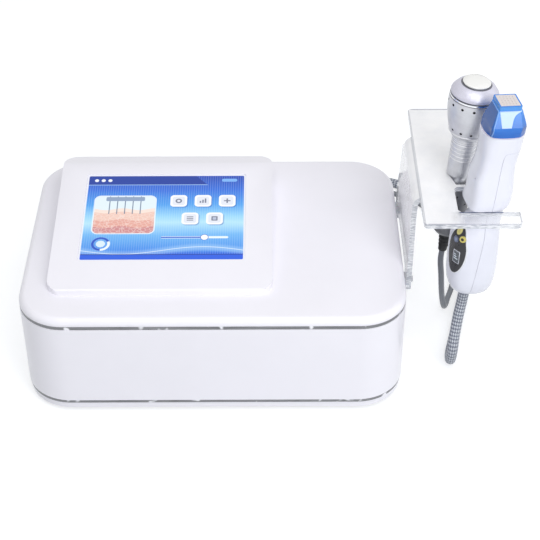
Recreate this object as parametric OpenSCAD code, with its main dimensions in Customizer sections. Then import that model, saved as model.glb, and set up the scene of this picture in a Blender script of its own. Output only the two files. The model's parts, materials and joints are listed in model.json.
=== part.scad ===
// Desktop radio frequency microneedling machine: a console with a tilted touch screen, a clear
// holder on its right side, and a needling and a cooling handpiece, each on its own cable.
// Millimetres, +Z up, front towards -Y. The origin is under the middle of the whole machine's box.

/* [Console] */
// Width of the console
console_w = 380; // [340:1:460]
// Depth of the console
console_d = 273; // [250:1:330]
// Corner radius of the console seen from above
corner_r = 47; // [30:1:60]
// Height of the rubber feet
foot_h = 5; // [3:0.5:12]
// Height of the bottom tray
tray_h = 7.2; // [7:0.1:16]
// Height of the lower trim strip
lower_trim_h = 3.8; // [1.5:0.1:5]
// Height of the middle band
band_h = 92; // [86:1:130]
// Height of the upper trim strip
upper_trim_h = 4.2; // [1.5:0.1:6]
// Height of the top cover
cover_h = 8.3; // [7:0.1:20]
// Radius of the top cover's upper edge
cover_edge_r = 7; // [2:0.5:8]
// Wall thickness of the case
wall = 3; // [2:0.1:4]
// How far the trim strips are set back
trim_inset = 0.6; // [0.5:0.1:2]
// How far the tray is set back
tray_inset = 1.6; // [0.5:0.1:3]

/* [Screen] */
// Width of the screen bezel
bezel_w = 220.7; // [190:1:260]
// Middle of the bezel from the console's middle, negative to the left
bezel_x = -51.7; // [-58:0.1:0]
// Front edge of the bezel from the console's front
bezel_front = 38; // [25:1:60]
// Height of the bezel's front edge above the cover
bezel_lip = 6.2; // [3:0.1:12]
// Tilt of the screen in degrees
screen_tilt = 8.1; // [4:0.1:14]
// Length of the bezel's tilted face
bezel_len = 182; // [160:1:195]
// Depth of the bezel's back, which falls away behind the tilted face
bezel_back = 24; // [16:1:30]
// Width of the visible picture
screen_w = 162.4; // [140:0.1:176]
// Height of the visible picture along the slope
screen_h = 121.8; // [100:0.1:126]
// Distance from the bezel's front edge to the picture
screen_start = 42; // [25:0.5:50]

/* [Rear panel] */
// Width of the rear panel
panel_w = 264; // [240:1:280]
// Height of the rear panel
panel_h = 74; // [70:1:80]
// Size of the square fan
fan_size = 60; // [50:1:60]
// Height of the handpiece sockets above the table
socket_z = 31; // [31:0.5:40]

/* [Holder] */
// Thickness of the clear sheet
sheet_t = 5; // [3.5:0.1:6.5]
// Gap between the console's side and the holder's plate
plate_gap = 3; // [2:0.1:8]
// Height of the shelf's top above the top trim strip's middle
shelf_rise = 100.5; // [90:0.5:120]
// Reach of the shelf beyond the plate's outer face
shelf_reach = 93.6; // [88:0.1:110]
// Front edge of the shelf from the console's front
shelf_front = 30; // [20:1:34]
// Depth of the shelf from front to back
shelf_d = 202; // [170:1:230]
// Width of the needling handpiece's slot
slot_w = 41; // [38:0.5:43]
// Thickness of the bar between the two slots
slot_bar = 4.1; // [4:0.1:8]
// Width of the cooling handpiece's slot
notch_w = 38.8; // [34:0.1:42]

/* [Needling handpiece] */
// Sideways lean of the needling handpiece in degrees
rf_lean = 3.9; // [0:0.1:6]
// Turn of the needling handpiece about its own axis in degrees
rf_turn = 10; // [0:1:20]
// Wall of the handpiece shells
shell_wall = 2.2; // [1.6:0.1:3]
// Half width of the handpiece's body
rf_half_w = 22.6; // [21:0.1:24]
// Half depth of the handpiece's body
rf_half_d = 21.5; // [20:0.1:22.5]
// Side of the square needle face
needle_face = 21.4; // [18:0.1:22]
// Diameter of the push rod
rod_d = 4; // [3:0.1:5]
// Diameter of the handpiece's keys
key_d = 6.2; // [5.6:0.1:6.4]
// Longest reach of the needles
needle_travel = 3; // [2:0.1:3.5]

/* [Cooling handpiece] */
// Sideways lean of the cooling handpiece in degrees
ice_lean = 5.2; // [0:0.1:6]
// Greatest radius of the cooling handpiece's head
head_r = 23.4; // [20:0.1:23.5]
// Radius of the cold plate
cold_r = 13.3; // [11:0.1:15]
// Radius of the grip at its top
grip_top_r = 13.2; // [12.6:0.1:14]
// Radius of the grip's lower shoulder
grip_low_r = 11.6; // [11:0.1:12.2]
// Radius of the neck that sits in the holder's notch
neck_r = 8.9; // [8:0.1:9]

/* [Cables] */
// Diameter of the needling handpiece's braided cable
rf_cable_d = 11; // [10:0.1:11.5]
// Diameter of the cooling handpiece's cable
ice_cable_d = 6; // [5:0.1:6.5]

/* [Hidden] */
$fn = 64;

gap = 0.3;
tiny = 0.01;

// Levels of the case, from the table up
tray_z = foot_h;
lower_trim_z = tray_z + tray_h;
band_z = lower_trim_z + lower_trim_h;
upper_trim_z = band_z + band_h;
cover_z = upper_trim_z + upper_trim_h;
top_z = cover_z + cover_h;
half_w = console_w / 2;
front_y = -console_d / 2;
back_y = console_d / 2;

// Holder, in the console's own frame
plate_x = half_w + plate_gap;
plate_out_x = plate_x + sheet_t;
shelf_top = upper_trim_z + upper_trim_h / 2 + shelf_rise;
bend_in_r = 6;
bend_out_r = bend_in_r + sheet_t;
shelf_x0 = plate_out_x + 2;
shelf_x1 = plate_out_x + shelf_reach;
shelf_y0 = front_y + shelf_front;
shelf_y1 = shelf_y0 + shelf_d;
bend_y0 = shelf_y0 + 44;
bend_y1 = bend_y0 + 106;
slot_y = shelf_y0 + 40;
slot_x0 = plate_out_x + 35.5;
notch_y = slot_y + slot_w / 2 + slot_bar + notch_w / 2;
tab_z = 99;
tab_ys = [shelf_y0 + 59, shelf_y0 + 180];

// Handpieces: where their axes cross the top of the shelf
rf_x = plate_out_x + 66.6;
ice_x = plate_out_x + 42.1;
notch_slope = 0.309;
neck_clear = 0.7;
notch_depth = (notch_w / 2) * notch_slope;
notch_x0 = ice_x - (neck_r + neck_clear) * sqrt(1 + notch_slope * notch_slope) + notch_depth;

// The whole machine's middle, measured without the cables
right_reach = rf_x + 26;
shift_x = (right_reach - half_w) / 2;
shift_y = 1.6;

module at_machine() {
    translate([-shift_x, -shift_y, 0]) children();
}

// Moves a piece from a handpiece's own frame to its place in the holder
module at_rf() {
    at_machine() translate([rf_x, slot_y, shelf_top]) rotate([0, rf_lean, 0]) rotate([0, 0, rf_turn])
        children();
}

module at_ice() {
    at_machine() translate([ice_x, notch_y, shelf_top]) rotate([0, ice_lean, 0]) children();
}

// Rounded rectangle of the case seen from above
module plan(w, d, r) {
    square([w - 2 * r, d], center = true);
    square([w, d - 2 * r], center = true);
    for (x = [-1, 1], y = [-1, 1]) {
        translate([x * (w / 2 - r), y * (d / 2 - r)]) circle(r, $fn = 128);
    }
}

module case_slab(z, h, inset) {
    translate([0, 0, z]) linear_extrude(h)
        plan(console_w - 2 * inset, console_d - 2 * inset, corner_r - inset);
}

module half_disc(r) {
    intersection() {
        circle(r);
        translate([-r, 0]) square([2 * r, r]);
    }
}

// Slab whose upper edge is rounded with a true radius
module rounded_slab(w, d, r, h, edge) {
    linear_extrude(h - edge) plan(w, d, r);
    linear_extrude(h) plan(w - 2 * edge, d - 2 * edge, r - edge);
    for (s = [-1, 1]) {
        translate([r - w / 2, s * (d / 2 - edge), h - edge]) rotate([90, 0, 90])
            linear_extrude(w - 2 * r) half_disc(edge);
        translate([s * (w / 2 - edge), d / 2 - r, h - edge]) rotate([90, 0, 0])
            linear_extrude(d - 2 * r) half_disc(edge);
        for (t = [-1, 1]) translate([s * (w / 2 - r), t * (d / 2 - r), h - edge])
            rotate_extrude($fn = 128) translate([r - edge, 0]) intersection() {
                circle(edge);
                square(edge);
            }
    }
}

module rounded_box(size, r) {
    linear_extrude(size[2]) plan(size[0], size[1], r);
}

module tube(r_out, r_in, h) {
    difference() {
        cylinder(r = r_out, h = h);
        translate([0, 0, -1]) cylinder(r = r_in, h = h + 2);
    }
}

// Case

boss_r = 6;
boss_x = half_w - wall - boss_r + 1;
boss_y = console_d / 2 - 71;
screw_r = 2;
vent_n = 9;
vent_len = 60;
vent_pitch = 9;

module at_bosses() {
    for (x = [-1, 1], y = [-1, 1]) translate([x * boss_x, y * boss_y, 0]) children();
}

module bottom_tray() {
    floor_t = 3;
    color("whitesmoke") at_machine() difference() {
        union() {
            difference() {
                case_slab(tray_z, tray_h, tray_inset);
                case_slab(tray_z + floor_t, tray_h, tray_inset + wall);
            }
            at_bosses() translate([0, 0, tray_z]) cylinder(r = boss_r, h = tray_h);
        }
        at_bosses() translate([0, 0, tray_z - 1]) {
            cylinder(r = screw_r + 0.3, h = tray_h + 2);
            cylinder(r = 4.2, h = 5);
        }
        for (i = [0 : vent_n - 1], x = [-1, 1]) {
            translate([x * console_w * 0.22, (i - (vent_n - 1) / 2) * vent_pitch, tray_z - 1])
                linear_extrude(6) square([vent_len, 3], center = true);
        }
        at_feet() translate([0, 0, tray_z - 1]) cylinder(r = foot_stem_r, h = 10);
    }
}

foot_r = 10;
foot_stem_r = 3;

module at_feet() {
    for (x = [-1, 1], y = [-1, 1]) {
        translate([x * (half_w - 40), y * (console_d / 2 - 40), 0]) children();
    }
}

module rubber_feet() {
    color([0.15, 0.15, 0.16]) at_machine() at_feet() {
        cylinder(r1 = foot_r - 1, r2 = foot_r, h = foot_h);
        cylinder(r = foot_stem_r, h = foot_h + 3);
        translate([0, 0, foot_h + 3]) cylinder(r = foot_stem_r + 1.2, h = 2);
    }
}

module trim(z, h) {
    color([0.45, 0.46, 0.49]) at_machine() difference() {
        case_slab(z, h, trim_inset);
        case_slab(z - 1, h + 2, wall);
        at_bosses() translate([0, 0, z - 1]) cylinder(r = boss_r + gap, h = h + 2);
    }
}

module lower_trim() {
    trim(lower_trim_z, lower_trim_h);
}

module upper_trim() {
    trim(upper_trim_z, upper_trim_h);
}

panel_z = band_z + 3;
side_ledge = 6;
end_ledge = 1.4;
panel_t = 1.6;
panel_seat = 1.8;
panel_out_y = back_y - panel_seat + panel_t;

module body_band() {
    color("whitesmoke") at_machine() difference() {
        union() {
            difference() {
                case_slab(band_z, band_h, 0);
                case_slab(band_z - 1, band_h + 2, wall);
            }
            at_bosses() translate([0, 0, band_z]) cylinder(r = boss_r, h = band_h);
            for (y = tab_ys) translate([half_w - wall - 6, y, tab_z]) rotate([0, 90, 0])
                cylinder(r = 6, h = 7);
        }
        at_bosses() translate([0, 0, band_z - 1]) cylinder(r = screw_r, h = 26);
        translate([-panel_w / 2 - gap, back_y - panel_seat, panel_z - gap])
            cube([panel_w + 2 * gap, 5, panel_h + 2 * gap]);
        translate([-panel_w / 2 + side_ledge, back_y - 10, panel_z + end_ledge])
            cube([panel_w - 2 * side_ledge, 20, panel_h - 2 * end_ledge]);
        at_rear_screws() cylinder(r = 1.25, h = 30, center = true);
        for (y = tab_ys) translate([half_w - 14, y, tab_z]) rotate([0, 90, 0]) cylinder(r = screw_r, h = 20);
    }
}

module case_screws() {
    color("silver") at_machine() at_bosses() {
        translate([0, 0, tray_z + 0.5]) cylinder(r = 3.8, h = 2.9);
        translate([0, 0, tray_z + 0.5]) cylinder(r = screw_r, h = band_z - tray_z + 20);
    }
}

// Profile of the bezel from the side: front lip, tilted face and a back that falls away
function slope_y(s) = front_y + bezel_front + s * cos(screen_tilt);
function slope_z(s) = top_z + bezel_lip + s * sin(screen_tilt);

bezel_fall = 14;

module bezel_side(inset) {
    lip_r = 2.5;
    lip_y = slope_y(0) + lip_r + inset;
    lip_z = slope_z(0) + (lip_y - slope_y(0)) * tan(screen_tilt) - lip_r - inset;
    face_end = slope_y(bezel_len);
    back_r = max(3.5 - inset, 0.5);
    turn_y = face_end + bezel_back - inset - back_r;
    turn_z = slope_z(bezel_len) - inset - back_r * cos(bezel_fall)
        - (turn_y + back_r * sin(bezel_fall) - face_end) * tan(bezel_fall);
    // The lip and the back edge are parts of circles, drawn as runs of short chords
    intersection() {
        polygon(concat(
            [[slope_y(0) - 1 + inset, top_z]],
            [for (a = [180 : -15 : 90]) [lip_y + lip_r * cos(a), lip_z + lip_r * sin(a)]],
            [[face_end, slope_z(bezel_len) - inset]],
            [for (i = [4 : -1 : 0]) let (a = (90 - bezel_fall) * i / 4)
                [turn_y + back_r * cos(a), turn_z + back_r * sin(a)]],
            [[turn_y + back_r, top_z]]
        ));
        translate([front_y, top_z]) square([console_d, 80]);
    }
}

bezel_front_r = 16;
bezel_back_r = 20;
bezel_wall = 3;

module bezel_plan(inset) {
    half = bezel_w / 2 - inset;
    y0 = slope_y(0) - 1 + inset;
    y1 = slope_y(bezel_len) + bezel_back - inset;
    front_r = bezel_front_r - inset;
    rear_r = bezel_back_r - inset;
    translate([bezel_x, 0]) {
        translate([-half, y0 + front_r]) square([2 * half, y1 - y0 - front_r - rear_r]);
        translate([front_r - half, y0]) square([2 * (half - front_r), front_r + 1]);
        translate([rear_r - half, y1 - rear_r - 1]) square([2 * (half - rear_r), rear_r + 1]);
        for (x = [-1, 1]) {
            translate([x * (half - front_r), y0 + front_r]) circle(front_r);
            translate([x * (half - rear_r), y1 - rear_r]) circle(rear_r);
        }
    }
}

module bezel_solid(inset) {
    intersection() {
        translate([-half_w, 0, 0]) rotate([90, 0, 90]) linear_extrude(console_w) bezel_side(inset);
        translate([0, 0, top_z]) linear_extrude(100) bezel_plan(inset);
    }
}

// A frame whose Z axis leaves the screen's face square and whose origin is its front edge's middle
module on_slope() {
    translate([bezel_x, slope_y(0), slope_z(0)]) rotate([screen_tilt, 0, 0]) children();
}

glass_t = 1;
glass_drop = 1;
glass_rim = 1.6;

module screen_block(grow, z0, z1, r) {
    translate([0, screen_start + screen_h / 2, z0])
        rounded_box([screen_w + 2 * grow, screen_h + 2 * grow, z1 - z0], r);
}

module screen_bezel() {
    color("white") at_machine() difference() {
        bezel_solid(0);
        difference() {
            translate([0, 0, -tiny]) bezel_solid(bezel_wall);
            on_slope() translate([-200, -20, -bezel_wall]) cube([400, 400, 60]);
        }
        on_slope() screen_block(glass_rim + gap, -glass_drop - glass_t, 20, 3);
        on_slope() screen_block(0, -30, 0, 1);
    }
}

module touch_glass() {
    color([0.1, 0.2, 0.5]) at_machine() on_slope()
        screen_block(glass_rim, -glass_drop - glass_t, -glass_drop, 2.7);
}

module display() {
    back = -bezel_wall - 0.2;
    color([0.2, 0.22, 0.25]) at_machine() on_slope() {
        translate([0, screen_start + screen_h / 2, back - 5.5])
            rounded_box([screen_w + 16, screen_h + 12, 5.5], 1.5);
        translate([-35, screen_start + 20, back - 9]) cube([70, 60, 4]);
    }
}

module top_cover() {
    color("white") at_machine() difference() {
        translate([0, 0, cover_z]) rounded_slab(console_w, console_d, corner_r, cover_h, cover_edge_r);
        translate([0, 0, cover_z - 1]) linear_extrude(cover_h - wall + 1)
            plan(console_w - 2 * wall - 4, console_d - 2 * wall - 4, corner_r - wall - 2);
        translate([bezel_x - screen_w / 2 - 12, slope_y(screen_start) - 12, cover_z])
            cube([screen_w + 24, screen_h + 20, 40]);
    }
}

// Rear panel

inlet_x = -30;
inlet_z = panel_z + panel_h / 2 + 4;
switch_x = 5;
fan_x = 62;
fan_z = panel_z + panel_h / 2;
rf_socket_x = -79;
ice_socket_x = 111;
socket_r = 9;
inlet_w = 27;
inlet_h = 33;
switch_w = 13.4;
switch_h = 19.6;
fan_hole_r = fan_size / 2 - 3;
fan_screw = fan_size / 2 - 5;

// A frame on the panel's outer face whose Z axis points backwards out of the machine
module on_panel(x, z) {
    translate([x, panel_out_y, z]) rotate([-90, 0, 0]) children();
}

module at_rear_screws() {
    for (x = [-1, 1], z = [3, panel_h - 3]) {
        translate([x * (panel_w / 2 - 3), panel_out_y, panel_z + z]) rotate([-90, 0, 0]) children();
    }
}

module at_fan_screws() {
    for (x = [-1, 1], z = [-1, 1]) on_panel(fan_x + x * fan_screw, fan_z + z * fan_screw) children();
}

module rear_panel() {
    color([0.85, 0.86, 0.88]) at_machine() difference() {
        translate([-panel_w / 2, panel_out_y - panel_t, panel_z]) cube([panel_w, panel_t, panel_h]);
        on_panel(inlet_x, inlet_z) translate([0, 0, -5]) rounded_box([inlet_w, inlet_h, 10], 2);
        on_panel(switch_x, inlet_z) translate([0, 0, -5])
            rounded_box([switch_w, switch_h, 10], 0.5);
        on_panel(fan_x, fan_z) translate([0, 0, -5]) cylinder(r = fan_hole_r, h = 10);
        for (x = [rf_socket_x, ice_socket_x]) on_panel(x, socket_z) translate([0, 0, -5])
            cylinder(r = socket_r + 0.1, h = 10);
        at_rear_screws() cylinder(r = 1.7, h = 10, center = true);
        at_fan_screws() cylinder(r = 2, h = 10, center = true);
    }
}

module rear_screws() {
    color("silver") at_machine() {
        at_rear_screws() {
            cylinder(r1 = 3, r2 = 2.2, h = 1.6);
            translate([0, 0, -7]) cylinder(r = 1.25, h = 7.1);
        }
        at_fan_screws() {
            translate([0, 0, guard_t]) cylinder(r1 = 3.4, r2 = 2.4, h = 1.8);
            translate([0, 0, -14]) cylinder(r = 1.6, h = 14.1 + guard_t);
        }
    }
}

inlet_deep = 22;
inlet_socket_z = 7;

module inlet_outline(grow) {
    polygon([[-11.5 - grow, -8 - grow], [11.5 + grow, -8 - grow], [11.5 + grow, 4 + grow],
        [7.5 + grow, 8 + grow], [-7.5 - grow, 8 + grow], [-11.5 - grow, 4 + grow]]);
}

module mains_inlet() {
    color([0.12, 0.12, 0.13]) at_machine() on_panel(inlet_x, inlet_z) mirror([0, 1, 0]) {
        difference() {
            union() {
                rounded_box([inlet_w + 6, inlet_h + 6, 2.4], 3);
                translate([0, 0, -inlet_deep])
                    rounded_box([inlet_w - 2 * gap, inlet_h - 2 * gap, inlet_deep + 1], 1.8);
            }
            translate([0, inlet_socket_z, -16]) linear_extrude(30) inlet_outline(0);
            translate([0, -11, -18]) linear_extrude(30) square([22.6, 8.6], center = true);
        }
        // Earth pin and two current pins
        for (p = [[0, 2.4], [-7, -1.6], [7, -1.6]]) translate([p[0] - 1, inlet_socket_z + p[1] - 2, -17])
            cube([2, 4, 12]);
    }
}

module fuse_drawer() {
    color([0.2, 0.2, 0.22]) at_machine() on_panel(inlet_x, inlet_z) mirror([0, 1, 0]) {
        translate([-11, -15, -17.4]) cube([22, 8, 19.6]);
        translate([-3, -13, 2.1]) cube([6, 2, 1.2]);
    }
}

rocker_pin_r = 1.2;
rocker_half = 8;

module switch_frame() {
    color([0.1, 0.1, 0.11]) at_machine() on_panel(switch_x, inlet_z) difference() {
        union() {
            rounded_box([switch_w + 4, switch_h + 4, 1.6], 1.5);
            translate([0, 0, -16]) rounded_box([switch_w - 0.4, switch_h - 0.4, 17], 0.4);
        }
        translate([-5.2, -8.4, -9]) cube([10.4, 16.8, 20]);
        translate([0, 0, -2]) rotate([0, 90, 0]) cylinder(r = rocker_pin_r + 0.05, h = 12.4, center = true);
    }
}

// The rocker lies pressed at its upper end, and turns about its two pins
module power_rocker() {
    color([0.16, 0.16, 0.17]) at_machine() on_panel(switch_x, inlet_z) translate([0, 0, -2]) {
        rotate([0, 90, 0]) cylinder(r = rocker_pin_r, h = 12, center = true);
        rotate([-9, 0, 0]) rotate([90, 0, 90]) linear_extrude(10, center = true) polygon([
            [-rocker_half + 0.4, 3.6], [0, 2.6], [rocker_half - 0.4, 3.6], [rocker_half - 1, -1],
            [2.5, -4.5], [-2.5, -4.5], [-rocker_half + 1, -1],
        ]);
    }
}

fan_t = 15;
fan_hub_r = 13;
fan_shaft_r = 1.5;
blade_n = 7;
fan_bore_r = fan_size / 2 - 2;
guard_t = 1.6;

module on_fan() {
    on_panel(fan_x, fan_z) translate([0, 0, -panel_t - fan_t]) children();
}

module fan_frame() {
    color([0.13, 0.13, 0.14]) at_machine() on_fan() difference() {
        union() {
            difference() {
                rounded_box([fan_size, fan_size, fan_t], 3);
                translate([0, 0, -1]) cylinder(r = fan_bore_r, h = fan_t + 2);
            }
            cylinder(r = fan_hub_r, h = 3);
            for (i = [0 : 3]) rotate(i * 90 + 45) translate([0, -2, 0]) cube([fan_bore_r + 0.5, 4, 2]);
        }
        translate([0, 0, -1]) cylinder(r = fan_shaft_r + 0.05, h = 6);
        for (x = [-1, 1], y = [-1, 1]) translate([x * fan_screw, y * fan_screw, -1])
            cylinder(r = 1.6, h = fan_t + 2);
    }
}

module fan_rotor() {
    color([0.2, 0.2, 0.21]) at_machine() on_fan() {
        translate([0, 0, 3.4]) cylinder(r = fan_hub_r, h = 10);
        translate([0, 0, 0.4]) cylinder(r = fan_shaft_r, h = 4);
        intersection() {
            translate([0, 0, 4]) cylinder(r = fan_bore_r - 0.8, h = 9);
            for (i = [0 : blade_n - 1]) rotate(i * 360 / blade_n) translate([fan_hub_r - 1, 0, 8.5])
                rotate([38, 0, 0]) translate([0, -7, -0.7]) cube([fan_bore_r, 14, 1.4]);
        }
    }
}

module fan_guard() {
    color([0.75, 0.76, 0.78]) at_machine() on_panel(fan_x, fan_z) difference() {
        union() {
            for (r = [10 : 5.6 : fan_hole_r]) tube(r + guard_t / 2, r - guard_t / 2, guard_t);
            cylinder(r = 5.5, h = guard_t);
            for (i = [0 : 3]) rotate(i * 90 + 45) translate([4, -guard_t / 2, 0])
                cube([fan_screw * sqrt(2) - 4, guard_t, guard_t]);
            for (x = [-1, 1], y = [-1, 1]) translate([x * fan_screw, y * fan_screw, 0])
                cylinder(r = 4, h = guard_t);
        }
        for (x = [-1, 1], y = [-1, 1]) translate([x * fan_screw, y * fan_screw, -1])
            cylinder(r = 1.9, h = 5);
    }
}

plug_nose_r = 6;
plug_nose_h = 8;
socket_flange_h = 2.2;

module handpiece_socket(x) {
    color([0.55, 0.56, 0.58]) at_machine() on_panel(x, socket_z) difference() {
        union() {
            cylinder(r = socket_r + 2.5, h = socket_flange_h);
            translate([0, 0, -13]) cylinder(r = socket_r, h = 14);
            translate([0, 0, -panel_t - 3]) cylinder(r = socket_r + 1.5, h = 3, $fn = 6);
        }
        translate([0, 0, -plug_nose_h - 1]) cylinder(r = plug_nose_r + 0.15, h = 20);
    }
}

module rf_socket() {
    handpiece_socket(rf_socket_x);
}

module ice_socket() {
    handpiece_socket(ice_socket_x);
}

// Inner assembly

chassis_z = band_z - 1;

module chassis_plate() {
    color("silver") at_machine() {
        difference() {
            translate([0, -4, chassis_z]) linear_extrude(1.5) plan(console_w - 30, console_d - 40, 20);
            for (i = [0 : 5]) translate([-140 + i * 52, -60, chassis_z - 1]) cube([20, 4, 4]);
            at_bosses() translate([0, 0, chassis_z - 1]) cylinder(r = boss_r + 1, h = 4);
        }
        // Standoffs that hold the boards
        for (b = [[-105, -40, 130, 100], [60, -60, 120, 90], [-100, 62, 130, 60]],
            x = [-1, 1], y = [-1, 1]) {
            translate([b[0] + x * (b[2] / 2 - 5), b[1] + y * (b[3] / 2 - 5), chassis_z + 1.5])
                cylinder(r = 2.6, h = 6.5, $fn = 24);
        }
        // Legs down to the tray's floor
        for (x = [-120, 0, 120], y = [-80, 70]) translate([x, y, tray_z + 3])
            cylinder(r = 4, h = chassis_z - tray_z - 3, $fn = 24);
    }
}

board_z = chassis_z + 8;

module board(x, y, w, d) {
    translate([x - w / 2, y - d / 2, board_z]) cube([w, d, 1.6]);
}

module block(x, y, w, d, h) {
    translate([x - w / 2, y - d / 2, board_z + 1.5]) cube([w, d, h]);
}

module can(x, y, r, h) {
    translate([x, y, board_z + 1.5]) cylinder(r = r, h = h, $fn = 32);
}

module main_board() {
    color([0.1, 0.35, 0.2]) at_machine() {
        board(-105, -40, 130, 100);
        block(-115, -45, 26, 26, 3);
        block(-80, -60, 18, 12, 3);
        block(-150, -20, 12, 40, 9);
        block(-95, 0, 50, 8, 10);
        for (i = [0 : 3]) can(-140 + i * 12, -75, 4, 12);
        block(-60, -25, 14, 22, 6);
    }
}

module power_supply() {
    color([0.75, 0.7, 0.3]) at_machine() {
        board(-100, 62, 130, 60);
        block(-100, 62, 36, 32, 30);
        block(-145, 55, 20, 24, 24);
        can(-72, 78, 9, 30);
        can(-50, 78, 9, 30);
        block(-55, 50, 30, 6, 26);
    }
}

module rf_board() {
    color([0.1, 0.3, 0.35]) at_machine() {
        board(60, -60, 120, 90);
        can(30, -40, 16, 22);
        can(30, -78, 12, 18);
        for (i = [0 : 2]) can(62 + i * 14, -92, 5, 14);
        block(104, -52, 12, 30, 10);
    }
}

module rf_heat_sink() {
    color("dimgray") at_machine() {
        translate([56, -78, board_z + 1.7]) cube([40, 50, 5]);
        for (i = [0 : 7]) translate([56 + i * 5.4, -78, board_z + 6.6]) cube([1.8, 50, 22]);
    }
}

// Holder: one clear sheet, bent from an upright plate into a shelf with two open slots

module shelf_outline() {
    r = 5;
    difference() {
        union() {
            translate([shelf_x0 + r, shelf_y0]) square([shelf_x1 - shelf_x0 - 2 * r, shelf_d]);
            translate([shelf_x0, shelf_y0 + r]) square([shelf_x1 - shelf_x0, shelf_d - 2 * r]);
            for (x = [shelf_x0 + r, shelf_x1 - r], y = [shelf_y0 + r, shelf_y1 - r]) translate([x, y])
                circle(r);
        }
        // Slot of the needling handpiece, with a small chamfer in its inner corners
        polygon([
            [slot_x0 + 3, slot_y - slot_w / 2], [slot_x0, slot_y - slot_w / 2 + 3.5],
            [slot_x0, slot_y + slot_w / 2 - 3.5], [slot_x0 + 3, slot_y + slot_w / 2],
            [shelf_x1 + 5, slot_y + slot_w / 2], [shelf_x1 + 5, slot_y - slot_w / 2],
        ]);
        // Slot of the cooling handpiece, whose inner end is a notch
        polygon([
            [notch_x0, notch_y - notch_w / 2], [notch_x0 - notch_depth, notch_y],
            [notch_x0, notch_y + notch_w / 2],
            [shelf_x1 + 5, notch_y + notch_w / 2], [shelf_x1 + 5, notch_y - notch_w / 2],
        ]);
        // The bar and the part behind it end a little before the front strip does
        translate([shelf_x1 - 11, slot_y]) square([20, slot_w]);
    }
}

module holder_sheet() {
    bend_z = shelf_top - bend_out_r;
    tab_r = 11;
    color([0.85, 0.9, 0.92, 0.6]) at_machine() difference() {
        union() {
            translate([0, 0, shelf_top - sheet_t]) linear_extrude(sheet_t) shelf_outline();
            translate([plate_x, bend_y0, bend_z - tiny]) intersection() {
                translate([bend_out_r, bend_y1 - bend_y0, 0]) rotate([90, 0, 0])
                    tube(bend_out_r, bend_in_r, bend_y1 - bend_y0);
                cube([bend_out_r, bend_y1 - bend_y0, bend_out_r + 1]);
            }
            // Upright plate with two tabs that reach down over the console's side
            translate([plate_x, 0, 0]) rotate([90, 0, 90]) linear_extrude(sheet_t) {
                polygon([
                    [bend_y0, bend_z], [bend_y1, bend_z], [bend_y1 + 12, bend_z - 6],
                    [tab_ys[1] + tab_r, tab_z + 12], [tab_ys[1] + tab_r, tab_z],
                    [tab_ys[1] - tab_r, tab_z], [tab_ys[1] - tab_r, tab_z + 7],
                    [tab_ys[0] + tab_r, tab_z + 7], [tab_ys[0] + tab_r, tab_z],
                    [tab_ys[0] - tab_r, tab_z], [tab_ys[0] - tab_r, bend_z - 20],
                ]);
                for (y = tab_ys) translate([y, tab_z]) circle(tab_r);
            }
        }
        for (y = tab_ys) translate([plate_x - 1, y, tab_z]) rotate([0, 90, 0])
            cylinder(r = screw_r + gap, h = sheet_t + 2);
    }
}

module holder_spacers() {
    color("white") at_machine() for (y = tab_ys) translate([half_w, y, tab_z]) rotate([0, 90, 0])
        tube(6.5, screw_r + gap, plate_gap);
}

module holder_screws() {
    color("silver") at_machine() for (y = tab_ys) translate([plate_out_x, y, tab_z]) rotate([0, 90, 0]) {
        cylinder(r1 = 4.5, r2 = 3.2, h = 2.4);
        translate([0, 0, -17]) cylinder(r = screw_r, h = 17.1);
    }
}

// Needling handpiece: ovals stacked along its axis,
// each [height, middle x, share of the half width, share of the half depth, and where it isn't the
// common one the roundness of its front left corner]

rf_ovals = [
    [-106, -4, 0.52, 0.5], [-104.6, -4.2, 0.72, 0.68], [-101, -4.4, 0.87, 0.84], [-95, -4.6, 0.98, 0.94],
    [-86, -4.9, 1.04, 0.98], [-70, -5.6, 1.06, 1], [-52, -6.7, 1.05, 1], [-40, -7.4, 1.03, 0.99],
    [-33, -7.2, 0.98, 0.96], [-27, -5.6, 0.86, 0.88], [-21, -3, 0.74, 0.78], [-14, -1, 0.67, 0.72],
    [-1.5, -0.4, 0.66, 0.71], [1.7, -3.8, 0.93, 1.03, 5], [3.6, -3.3, 0.94, 1.06, 5],
    [9, -2.2, 0.935, 1.05, 5], [20, -2.2, 0.94, 1.02, 5], [33, -2.8, 0.905, 0.96, 5],
    [46, -1.6, 0.81, 0.9, 4.5], [58, -0.7, 0.825, 0.88, 3.6], [70, -0.4, 0.87, 0.88, 3],
    [80, -0.5, 0.895, 0.88],
];
low_ovals = [for (s = rf_ovals) if (s[0] >= -95 && s[0] <= -14) s];
roundness = 2.5;
outer_sides = 32;
inner_sides = 24;
rim = rf_ovals[len(rf_ovals) - 1];

function power(v, e) = sign(v) * pow(abs(v), e);

function corner_roundness(s) = len(s) > 4 ? s[4] : roundness;

// Points of one oval, grown outwards by a distance
function oval(s, grow, n) = [
    for (i = [0 : n - 1]) let (
        a = 360 * i / n,
        e = 2 / (a > 180 && a < 270 ? corner_roundness(s) : roundness)
    ) [
        s[1] + (rf_half_w * s[2] + grow) * power(cos(a), e),
        (rf_half_d * s[3] + grow) * power(sin(a), e),
        s[0],
    ]
];

// Closed skin over a stack of rings that all have the same number of points
module skin(rings) {
    n = len(rings[0]);
    m = len(rings);
    polyhedron(
        points = [for (r = rings) for (p = r) p],
        faces = concat(
            [[for (i = [0 : n - 1]) i]],
            [[for (i = [n - 1 : -1 : 0]) (m - 1) * n + i]],
            [for (k = [0 : m - 2]) for (i = [0 : n - 1]) [k * n + i, (k + 1) * n + i, k * n + (i + 1) % n]],
            [for (k = [0 : m - 2]) for (i = [0 : n - 1])
                [(k + 1) * n + i, (k + 1) * n + (i + 1) % n, k * n + (i + 1) % n]]
        )
    );
}

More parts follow.
